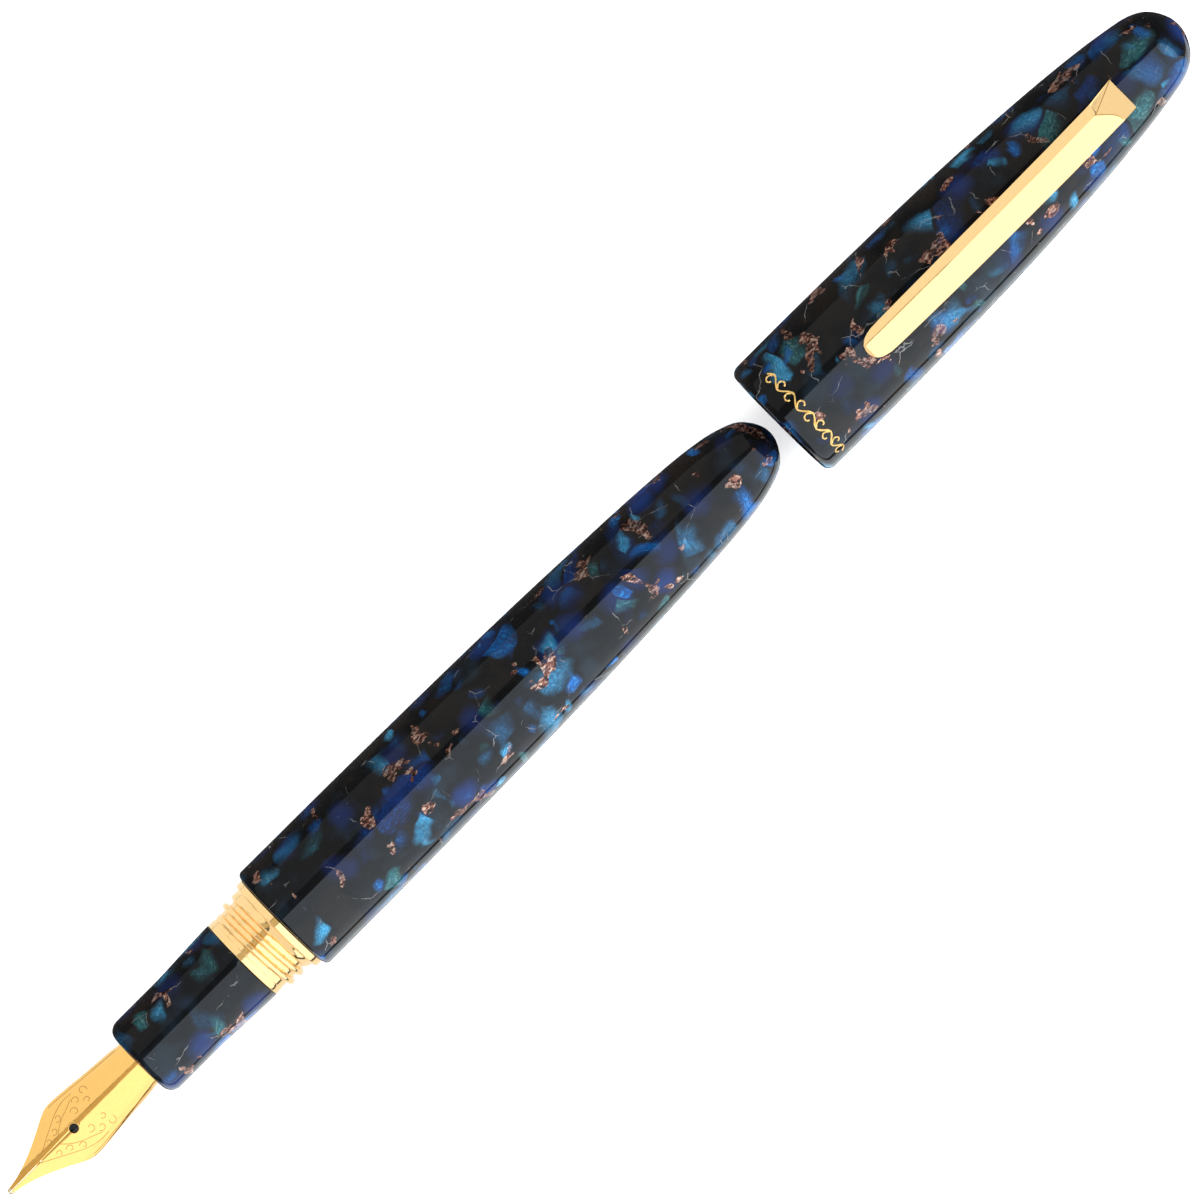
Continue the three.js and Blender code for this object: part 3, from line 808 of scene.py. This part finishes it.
def makeNib():
    shape = nibShape
    hole = shape["breatherX"]
    size = shape["breather"]
    rows = [nibPoint + (hole - size - nibPoint) * i / 40 for i in range(40)]
    rows += [hole - size * math.cos(math.pi * i / 16) for i in range(17)]
    rows += [hole + size + (nibBack - hole - size) * i / 34 for i in range(1, 35)]
    across = 18
    bm = bmesh.new()
    bmesh.ops.create_grid(bm, x_segments=len(rows) - 1, y_segments=across, size=1)
    for vert in bm.verts:
        x = rows[round((vert.co.x + 1) / 2 * (len(rows) - 1))]
        part = (vert.co.y + 1) / 2
        radius = nibRadiusAt(x)
        halfChord = math.sqrt(max(0, size * size - (x - hole) ** 2))
        inner = max(slitAt(x) if x < hole else 0, halfChord)
        outer = math.asin(min(1, widthAt(nibOutline, x) / radius))
        if x > shape["base"]:
            outer += math.radians(12) * min(1, (x - shape["base"]) / 4)
        start = math.asin(inner / radius)
        lean = start + (outer - start) * part
        vert.co = (x, radius * math.sin(lean), nibCentreAt(x) + radius * math.cos(lean))
    bmesh.ops.mirror(bm, geom=everything(bm), axis="Y", merge_dist=1e-4)
    bmesh.ops.remove_doubles(bm, verts=bm.verts, dist=1e-4)
    faceUp(bm)
    nib = makeObject("nib_gold", bm, nibGold, "nib_unit", ["nib"], merge=False)
    addWall(nib, shape["thickness"], even=True)
    softEdge(nib, 0.05, 2, 50)


tippingShape = {"radius": 0.5, "stretch": (1.15, 1.0, 0.86), "ahead": 0.02, "drop": 0.34}


def makeTipping(side, name, node):
    shape = tippingShape
    bm = bmesh.new()
    bmesh.ops.create_uvsphere(bm, u_segments=32, v_segments=20, radius=shape["radius"])
    bmesh.ops.scale(bm, vec=shape["stretch"], verts=bm.verts)
    crest = nibShape["radius"] - nibShape["fall"] * (nibShape["base"] - nibPoint)
    bmesh.ops.translate(bm, vec=(nibPoint - shape["ahead"], 0, crest - shape["drop"]), verts=bm.verts)
    inner = (0, side * nibShape["slitPoint"], 0)
    back = (nibPoint + shape["ahead"], 0, 0)
    for normal, place in (((0, -side, 0), inner), ((1, 0, 0), back)):
        plane = {"plane_co": place, "plane_no": normal, "clear_outer": True}
        cut = bmesh.ops.bisect_plane(bm, geom=everything(bm), **plane)
        rim = [e for e in cut["geom_cut"] if isinstance(e, bmesh.types.BMEdge)]
        bmesh.ops.holes_fill(bm, edges=rim, sides=0)
    makeObject(name, bm, hardAlloy, "nib_unit", [node])


# plain scrollwork, drawn as fine dark lines that are painted shade of the engraved grooves; in mm ahead of
# the breather hole and away from the centre line
engraving = {
    "lineRadius": 0.045,
    "sink": 0.012,
    "rim": 0.34,  # from the nib's edge
    "rimStart": 0.6,  # ahead of the breather hole
    "rimLength": 10.6,
    "outer": [(5.9, 0.07), (4.2, 0.95), (2.2, 2.0), (0.4, 2.85), (-1.2, 3.25), (-2.6, 3.2)],
    "inner": [(2.5, 0.2), (1.5, 1.1), (0.2, 1.85), (-1.0, 2.3), (-2.1, 2.75)],
    "curls": [  # place, radius, and the directions in which it starts and ends
        (3.3, 0.95, 0.42, -150, 130),
        (2.0, 1.42, 0.5, -150, 140),
        (0.6, 2.25, 0.5, -150, 150),
        (-1.5, 1.35, 0.58, 150, -130),
        (-2.5, 2.2, 0.55, 160, -120),
        (-3.9, 2.5, 0.6, -30, 230),
        (-3.6, 1.3, 0.45, 160, -120),
    ],
}


def tubeAlong(bm, path, radius, sides=6):
    # a fine closed tube through a list of places
    rings = []
    for i, place in enumerate(path):
        ahead = (path[min(i + 1, len(path) - 1)] - path[max(i - 1, 0)]).normalized()
        atEnd = i in (0, len(path) - 1)
        ring = bmesh.ops.create_circle(bm, segments=sides, radius=radius, cap_ends=atEnd)["verts"]
        turn = Vector((0, 0, 1)).rotation_difference(ahead).to_matrix().to_4x4()
        bmesh.ops.transform(bm, matrix=Matrix.Translation(place) @ turn, verts=ring)
        rings.append(ring)
    for a, b in zip(rings, rings[1:]):
        edges = []
        for ring in (a, b):
            edges += {e for v in ring for e in v.link_edges if e.other_vert(v) in ring}
        bmesh.ops.bridge_loops(bm, edges=edges)


def makeEngraving():
    work = engraving
    hole = nibShape["breatherX"]
    lines = []
    for side in (-1, 1):
        for name in ("outer", "inner"):
            route = smoothLine(work[name], 8)
            lines.append([onNib(hole - ahead, side * over, -work["sink"]) for ahead, over in route])
        rimLine = []
        for i in range(61):
            x = hole - work["rimStart"] + work["rimLength"] * i / 60
            rimLine.append(onNib(x, side * (widthAt(nibOutline, x) - work["rim"]), -work["sink"]))
        lines.append(rimLine)
        for ahead, over, radius, start, end in work["curls"]:
            # a scroll that tightens as it turns
            curl = []
            for i in range(21):
                a = math.radians(start + (end - start) * i / 20)
                size = radius * (1 - 0.6 * i / 20)
                place = (hole - ahead + size * math.cos(a), side * (over + size * math.sin(a)))
                curl.append(onNib(*place, -work["sink"]))
            lines.append(curl)
    bm = bmesh.new()
    for line in lines:
        tubeAlong(bm, line, work["lineRadius"])
    makeObject("nib_scrollwork", bm, grooveShadeGold, "nib_unit")


def softenedNode(name, node, material, body, width=0.05):
    # the CAD shape of a node with its edges rounded over
    bm = bmesh.new()
    bm.from_mesh(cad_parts[node].data)
    bmesh.ops.scale(bm, vec=(1 / mm, 1 / mm, 1 / mm), verts=bm.verts)
    bmesh.ops.translate(bm, vec=(0, 0, -axisHeight), verts=bm.verts)
    bmesh.ops.remove_doubles(bm, verts=bm.verts, dist=1e-3)
    bmesh.ops.dissolve_limit(bm, angle_limit=math.radians(1), verts=bm.verts, edges=bm.edges)
    made = makeObject(name, bm, material, body, [node], merge=False)
    softEdge(made, width, 2, 35)
    weld = made.modifiers.new("weld", "WELD")  # closes the slivers that the bevel leaves at corners
    weld.merge_threshold = 0.004 * mm


housingShape = {
    "bore": 3.44,
    "root": 3.72,
    "nipple": 1.5,
    "channel": 0.96,
    "thread": {"pitch": 0.75, "turns": 8.2, "halfWidth": 0.33, "height": 0.17, "low": 3.7, "high": 3.9},
}


def makeHousing():
    start, end = spanOf("nib_housing")
    bore, root, nipple, channel = [housingShape[key] for key in ("bore", "root", "nipple", "channel")]
    profile = [(start, bore), (start, 3.78)] + arcPoints(start + 0.1, 3.79, 0.1, 0.1, 170, 90, 3)
    profile += at(start, [(1.2, 3.89), (1.3, root)]) + stepped(start + 1.4, start + 8.2, root, 0.07)
    profile += at(start, [(8.9, 3.65), (10.1, 3), (10.5, nipple)])
    profile += [(end - 0.3, nipple), (end, 1.3), (end, channel)]
    profile += at(nibBack + 0.15, [(0, channel), (0, bore)])
    bm = turned(profile, 80, 0)
    raiseThread(bm, dict(housingShape["thread"], start=start + 1.7, root=root))
    makeObject("housing_black", bm, blackPlastic, "nib_unit", ["nib_housing"], sharp=50)


makeNib()
makeTipping(-1, "tip_left_alloy", "tipping_left")
makeTipping(1, "tip_right_alloy", "tipping_right")
makeEngraving()
softenedNode("feed_black", "feed", blackPlastic, "nib_unit", 0.04)
makeHousing()
print("stage: nib unit made")


# The converter, its knob and its piston.

tubeShape = {"bore": 2.9, "wall": 3.65, "mouth": 1.56}
sleeveShape = {"bore": 3.7, "outside": 4.1, "groove": 4.02}
knobShape = {
    "outside": 3.8,
    "gripWaist": 3.66,
    "flutes": 32,
    "fluteHeight": 0.028,  # as a part of the radius
    "nutSeat": 2.75,
    "rodBore": 1.7,
}
nutShape = {"bore": 1.4, "outside": 2.7}


def makeConverter():
    start, end = spanOf("converter_tube")
    bore, wall, mouth = tubeShape["bore"], tubeShape["wall"], tubeShape["mouth"]
    profile = [(start, mouth), (start, bore)] + arcPoints(start + 0.3, bore, 0.3, 0.3, 150, 90, 3)
    profile += at(start, [(4.9, 3.2), (5.5, wall)]) + at(end, [(0, wall), (0, bore)])
    profile += at(start, [(6.3, bore), (6.0, mouth)])
    tube = turned(profile, 80, 0.08)
    makeObject("tube_clear", tube, clearPlastic, "converter", ["converter_tube"])

    start, end = spanOf("converter_sleeve")
    bore, out, groove = sleeveShape["bore"], sleeveShape["outside"], sleeveShape["groove"]
    profile = [(start, bore)] + arcPoints(start + 0.3, out - 0.3, 0.3, 0.3, 160, 90, 4)
    profile += at(start, [(1.1, out), (1.2, groove), (1.5, groove), (1.6, out)])
    profile += at(end, [(-1.6, out), (-1.5, groove), (-1.2, groove), (-1.1, out)])
    profile += arcPoints(end - 0.2, out - 0.2, 0.2, 0.2, 90, 0, 3) + [(end, bore)]
    sleeve = turned(profile, 80, 0.04)
    makeObject("sleeve_gold", sleeve, trimGold, "converter", ["converter_sleeve"])
    softenedNode("guide_black", "rod_guide", blackPlastic, "converter")


def makeKnob():
    shape = knobShape
    start, end = spanOf("converter_knob")
    rod, seat, out, waist = shape["rodBore"], shape["nutSeat"], shape["outside"], shape["gripWaist"]
    profile = [(end - 1, 0), (end - 1, rod)] + at(start, [(3.5, rod), (3.5, seat), (0, seat), (0, 3.6)])
    profile += arcPoints(start + 0.3, 3.6, 0.3, 0.2, 160, 90, 3) + at(start, [(7.6, out), (7.9, waist)])
    profile += stepped(start + 8.2, end - 3.8, waist, 0.7)
    profile += [(end - 3.5, out)] + arcPoints(end - 0.8, 3, 0.8, 0.8, 90, 8, 6) + [(end, 0)]
    bm = turned(profile, 96, 0.05)
    for vert in bm.verts:
        x, y, z = vert.co
        if math.hypot(y, z) > 3.5 and start + 8.1 < x < end - 3.7:
            wave = 0.5 + 0.5 * math.cos(shape["flutes"] * math.atan2(z, y))
            vert.co.y *= 1 + shape["fluteHeight"] * wave
            vert.co.z *= 1 + shape["fluteHeight"] * wave
    makeObject("knob_black", bm, blackPlastic, "knob", ["converter_knob"])

    start, end = spanOf("drive_nut")
    bore, out = nutShape["bore"], nutShape["outside"]
    nut = turned([(start, bore), (start, out), (end, out), (end, bore)], 64, 0.1)
    makeObject("nut_brass", nut, turnedBrass, "knob", ["drive_nut"])


rodShape = {
    "root": 1.12,
    "neck": 0.9,
    "flat": 0.94,  # half the thickness across its two flats
    "thread": {"pitch": 3.2, "halfWidth": 0.8, "height": 0.2, "root": 1.1, "low": 1.05, "high": 1.35},
}
sealShape = {"lip": 2.87, "waist": 2.3, "bore": 0.93}


def makePiston():
    shape = rodShape
    start, end = spanOf("piston_rod")
    root, neck, flat = shape["root"], shape["neck"], shape["flat"]
    profile = at(start, [(0, 0), (0, 0.8), (0.1, neck), (1.85, neck), (1.9, root)])
    profile += stepped(start + 2.0, end - 0.2, root, 0.2) + [(end, neck), (end, 0)]
    bm = turned(profile, 48, 0)
    turns = (end - start - 4) / shape["thread"]["pitch"]
    raiseThread(bm, dict(shape["thread"], start=start + 3, turns=turns))
    for vert in bm.verts:
        vert.co.y = max(-flat, min(flat, vert.co.y))
    makeObject("rod_grey", bm, greyPlastic, "piston", ["piston_rod"], sharp=50)

    start, end = spanOf("piston_seal")
    lip, waist, bore = sealShape["lip"], sealShape["waist"], sealShape["bore"]
    rib = (lip - 0.3, 0.42, 0.3, 160, 20, 6)
    profile = [(start, 0), (start, waist)] + arcPoints(start + 0.5, *rib)
    profile += at(start, [(1.3, waist), (2.5, waist)]) + arcPoints(end - 0.55, *rib)
    profile += [(end, waist), (end, bore), (start + 1.95, bore), (start + 1.95, 0)]
    makeObject("seal_rubber", turned(profile, 64, 0), blackRubber, "piston", ["piston_seal"])


makeConverter()
makeKnob()
makePiston()
print("stage: converter made")


# The cap and what is inside it.

capShape = {
    "lip": (1.3, 0.98),
    "face": 7.39,
    "taper": [(2.3, 8.37), (11, 8.36), (24, 8.18), (34, 7.9), (45, 7.3)]
    + [(54, 6.54), (61, 5.6), (64.6, 4.7), (66.7, 2.96)],
    "bore": [(61, 0), (61, 2.5), (56.5, 2.5), (56.5, 4), (49.2, 4.1), (40, 6.2), (21.95, 6.2)]
    + [(21.95, 6.7), (21, 6.7), (21, 6.35), (7.2, 6.35), (6.9, 6.55)],  # from its blind end to its thread
    "mouth": [(2.1, 6.55), (1.1, 7), (0.1, 7), (0, 7.1)],
    "thread": {
        "start": 2.9,
        "pitch": 1.5,
        "turns": 2.2,
        "halfWidth": 0.42,
        "height": 0.32,
        "root": 6.55,
        "low": 6.5,
        "high": 6.6,
        "inward": True,
    },
    "slot": (1.6, 3.6, 5.5),
    "slotPlace": (capMouth + 55.95, 0, 6.25),
}
capOutline = smoothLine(at(capMouth, capShape["taper"]) + [(capCrown, 0)], 8, endUpright=True)


def makeCapShell():
    shape = capShape
    x = capMouth
    lipX, lipR = shape["lip"]
    profile = at(x, shape["bore"]) + stepped(x + 6.8, x + 2.2, shape["thread"]["root"], 0.07)
    profile += at(x, shape["mouth"])
    profile += arcPoints(x + lipX, shape["face"], lipX, lipR, 180, 94, 8) + capOutline
    bm = turned(profile, 144, 0)
    raiseThread(bm, dict(shape["thread"], start=x + shape["thread"]["start"]))
    cap = makeObject("cap_resin", bm, capResin, "cap", ["cap_shell"], sharp=40)
    cutter = bmesh.new()
    bmesh.ops.create_cube(cutter, size=1)
    bmesh.ops.scale(cutter, vec=shape["slot"], verts=cutter.verts)
    bmesh.ops.translate(cutter, vec=shape["slotPlace"], verts=cutter.verts)
    turnToClip(cutter)
    toMetres(cutter)
    block = meshObject("slot cutter", cutter)
    cut = cap.modifiers.new("clip slot", "BOOLEAN")
    cut.operation = "DIFFERENCE"
    cut.solver = "EXACT"
    cut.object = block
    bpy.context.view_layer.update()
    done = bpy.data.meshes.new_from_object(cap.evaluated_get(bpy.context.evaluated_depsgraph_get()))
    cap.modifiers.clear()
    cap.data = done
    bpy.data.objects.remove(block)


ringShape = {"place": 21.05, "width": 0.85, "bore": 5.8, "outside": 6.6, "gap": 1}
linerShape = {
    "back": 1.2,  # thickness of its closed end
    "shoulder": 36.8,
    "bore": 5.35,
    "lip": 5.62,
    "outside": 6.14,
}
screwShape = {
    "head": [(0, 0), (0, 3.4), (0.2, 3.6), (1.5, 3.6), (1.5, 2.45)],
    "core": 2.38,
    "root": 2.36,
    "thread": {"pitch": 0.5, "turns": 6, "halfWidth": 0.22, "height": 0.1, "low": 2.3, "high": 2.44},
}
springShape = {"wire": 0.28, "radius": 2.95, "turns": 4, "travel": 2.5}


def closeHoles(bm):
    bmesh.ops.holes_fill(bm, edges=[e for e in bm.edges if e.is_boundary], sides=0)


def makeRing():
    shape = ringShape
    bore, out = shape["bore"], shape["outside"]
    start, end = capMouth + shape["place"], capMouth + shape["place"] + shape["width"]
    bm = turned([(start, bore), (start, out), (end, out), (end, bore)], 96, 0.06)
    # the ring is split at the top so that it can be sprung into its groove
    for y in (-shape["gap"], shape["gap"]):
        bmesh.ops.bisect_plane(bm, geom=everything(bm), plane_co=(0, y, 0), plane_no=(0, 1, 0))
    middles = [(f, f.calc_center_median()) for f in bm.faces]
    gone = [f for f, middle in middles if abs(middle.y) < shape["gap"] - 0.02 and middle.z > 0]
    bmesh.ops.delete(bm, geom=gone, context="FACES")
    closeHoles(bm)
    makeObject("ring_steel", bm, turnedSteel, "cap", ["retaining_ring"])


def makeInnerCap():
    shape = linerShape
    start, end = spanOf("inner_cap")
    back, shoulder = end - shape["back"], capMouth + shape["shoulder"]
    bore, lip, out = shape["bore"], shape["lip"], shape["outside"]
    profile = [(back, 0), (back, 2.9), (shoulder, bore)]
    profile += at(start, [(1.5, bore), (1.5, lip), (0, lip), (0, out)])
    profile += [(shoulder, out)] + at(end, [(-0.8, 3.7), (0, 3.5), (0, 0)])
    liner = turned(profile, 96, 0.12)
    makeObject("liner_black", liner, blackPlastic, "inner_cap", ["inner_cap"])

    start, end = spanOf("inner_cap_seal")
    profile = [(start, 5.1)] + arcPoints(start + 0.25, 5.3, 0.25, 0.27, 170, 90, 4)
    profile += [(end, 5.57), (end, 5), (start + 0.35, 5)]
    seal = turned(profile, 96, 0.04)
    makeObject("liner_seal_rubber", seal, blackRubber, "inner_cap", ["inner_cap_seal"])


def makeScrew():
    start, end = spanOf("clip_screw")
    profile = at(start, screwShape["head"]) + stepped(start + 1.8, end - 0.4, screwShape["core"], 0.1)
    bm = turned(profile + [(end, 2.1), (end, 0)], 72, 0)
    raiseThread(bm, dict(screwShape["thread"], start=start + 3, root=screwShape["root"]))
    makeObject("screw_brass", bm, turnedBrass, "cap", ["clip_screw"], sharp=50)
    softenedNode("anchor_gold", "clip_anchor", trimGold, "cap")


def makeSpring():
    shape = springShape
    start, end = spanOf("cap_spring")
    wire, turns, steps = shape["wire"], shape["turns"], 40
    pitch = (end - start - 2 * wire) / turns
    bm = bmesh.new()
    bmesh.ops.create_circle(bm, segments=10, radius=wire)
    bmesh.ops.translate(bm, vec=(start + wire, shape["radius"], 0), verts=bm.verts)
    coil = {"cent": (0, 0, 0), "axis": (1, 0, 0), "dvec": (pitch / steps, 0, 0), "use_merge": False}
    wireEnd = bm.verts[:] + bm.edges[:]
    bmesh.ops.spin(bm, geom=wireEnd, angle=2 * math.pi * turns, steps=steps * turns, **coil)
    closeHoles(bm)
    spring = makeObject("spring_steel_wire", bm, springSteel, "cap", ["cap_spring"])
    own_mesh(spring)


# The clip.

clipShape = {
    "edge": [(0, 0.3), (0.2, 0.95), (0.8, 1.5), (1.9, 1.87), (3.9, 1.95)]
    + [(16.9, 2.1), (31.9, 2.15), (39.9, 2.18), (43.5, 2.32)],
    "top": [(0, 9.35), (0.5, 9.8), (2.9, 10), (11.9, 10.3)]
    + [(21.9, 10.3), (31.9, 10.05), (39.3, 9.4), (43.5, 8.55)],
    "scoop": 39.2,  # where the flat at the end starts, on the crease
    "scoopLean": 2.1,  # and how much later it starts at the near edge
    "scoopFall": 0.34,
    "crease": 0.85,
    "creaseTurn": 0.33,  # the crease runs out to the far corner along the scoop
    "scoopWidth": 2.9,
    "scoreLine": 0.05,  # radius of the fine line scored along two sides of the scoop, drawn dark as painted shade of the groove
    "thickness": 0.85,
    "rounding": 0.16,
    "foot": (1.6, 1.25, 0.62),  # presses on the cap under the tip
    "footPlace": (clipTip + 2.4, 0, 9.1),
    "neck": (1.2, 3.0, 0.8),  # goes down to the cap's slot
    "neckPlace": (clipEnd - 0.8, 0, 6.5),
}


def scoopStart(y):
    near = min(1, max(0, (clipShape["crease"] - y) / clipShape["scoopWidth"]))
    return clipShape["scoop"] + clipShape["scoopLean"] * math.sin(math.pi / 2 * near)


def clipPlace(along, part):
    # a place on the clip's face: along from its tip, part from -1 at the near edge to 1 at the far edge
    shape = clipShape
    y = widthAt(shape["edge"], along) * part
    height = widthAt(shape["top"], along)
    crease = shape["crease"] + shape["creaseTurn"] * max(0, along - shape["scoop"])
    if y > crease:
        height -= 0.36 * (y - crease) + 0.06 * (y - crease) ** 2
    else:
        height -= 0.035 * (shape["crease"] - y) ** 2 + 0.05 * (shape["crease"] - y)
    height -= shape["scoopFall"] * max(0, along - scoopStart(y))
    return Vector((clipTip + along, y, height))


def makeClip():
    shape = clipShape
    rows = [0, 0.1, 0.22, 0.4, 0.65, 1.0, 1.5, 2.2, 3.0]
    rows += [3.0 + 35.4 * i / 48 for i in range(1, 49)]
    rows += [38.4 + (clipEnd - clipTip - 38.4) * i / 22 for i in range(1, 23)]
    across = 30
    bm = bmesh.new()
    bmesh.ops.create_grid(bm, x_segments=len(rows) - 1, y_segments=across, size=1)
    for vert in bm.verts:
        along = rows[round((vert.co.x + 1) / 2 * (len(rows) - 1))]
        vert.co = clipPlace(along, vert.co.y)
    faceUp(bm)
    turnToClip(bm)
    clip = makeObject("clip_gold", bm, trimGold, "clip", ["clip"], sharp=18, merge=False)
    addWall(clip, shape["thickness"])
    softEdge(clip, shape["rounding"], 3, 50)

    # the line scored along the crease and along the front of the scoop, drawn dark as painted shade in the
    # scored groove
    scoop, side = shape["scoop"], shape["crease"]
    reach = clipEnd - clipTip - 0.1 - scoop
    crease = [(scoop + reach * i / 12, side + shape["creaseTurn"] * reach * i / 12) for i in range(13)]
    front = [(scoopStart(y), y) for y in (side - shape["scoopWidth"] * i / 12 for i in range(13))]
    bm = bmesh.new()
    for line in (crease, front):
        places = [clipPlace(along, y / widthAt(shape["edge"], along)) for along, y in line]
        tubeAlong(bm, places, shape["scoreLine"])
    turnToClip(bm)
    makeObject("clip_scored_line", bm, grooveShadeGold, "clip")

    for part in ("foot", "neck"):
        bm = bmesh.new()
        if part == "foot":
            bmesh.ops.create_uvsphere(bm, u_segments=32, v_segments=16, radius=1)
        else:
            bmesh.ops.create_cube(bm, size=1)
        bmesh.ops.scale(bm, vec=shape[part], verts=bm.verts)
        if part == "neck":
            bmesh.ops.bevel(bm, geom=bm.edges[:], offset=0.2, segments=3, **bevelled)
        bmesh.ops.translate(bm, vec=shape[part + "Place"], verts=bm.verts)
        turnToClip(bm)
        makeObject("clip_" + part + "_gold", bm, trimGold, "clip")


# The foil ornament round the cap's mouth: a plain running vine with leaves.

foil = {
    "along": 2.95,
    "from": 38,
    "to": -66,
    "waves": 4.5,
    "swing": 0.5,
    "lineRadius": 0.15,
    "leaf": 0.82,
    "sink": -0.07,  # how far its middle lies under the cap's face
}


def onCap(along, degrees):
    a = math.radians(degrees)
    radius = widthAt(capOutline, capMouth + along) + foil["sink"]
    return Vector((capMouth + along, radius * math.sin(a), radius * math.cos(a)))


def makeFoil():
    bm = bmesh.new()
    work = foil
    sweep = work["to"] - work["from"]
    stem = []
    for i in range(151):
        t = i / 150
        swing = work["swing"] * math.sin(2 * math.pi * work["waves"] * t)
        stem.append(onCap(work["along"] + swing, work["from"] + sweep * t))
    tubeAlong(bm, stem, work["lineRadius"])
    leaves = int(work["waves"] * 2)
    for k in range(leaves):
        t = (k + 0.5) / leaves
        side = 1 if k % 2 else -1
        curl = []
        for i in range(15):
            a = math.radians(-80 + 250 * i / 14)
            size = work["leaf"] * (0.75 - 0.4 * i / 14)
            degrees = work["from"] + sweep * t + math.degrees(size * math.cos(a) / capShape["taper"][0][1])
            curl.append(onCap(work["along"] + side * (0.3 + size * math.sin(a)), degrees))
        tubeAlong(bm, curl, work["lineRadius"] * 0.9)
    makeObject("cap_foil_vine", bm, foilGold, "cap")


makeCapShell()
makeRing()
makeInnerCap()
makeScrew()
makeSpring()
makeClip()
makeFoil()
print("stage: cap and clip made")

addCamera()
addStudio()
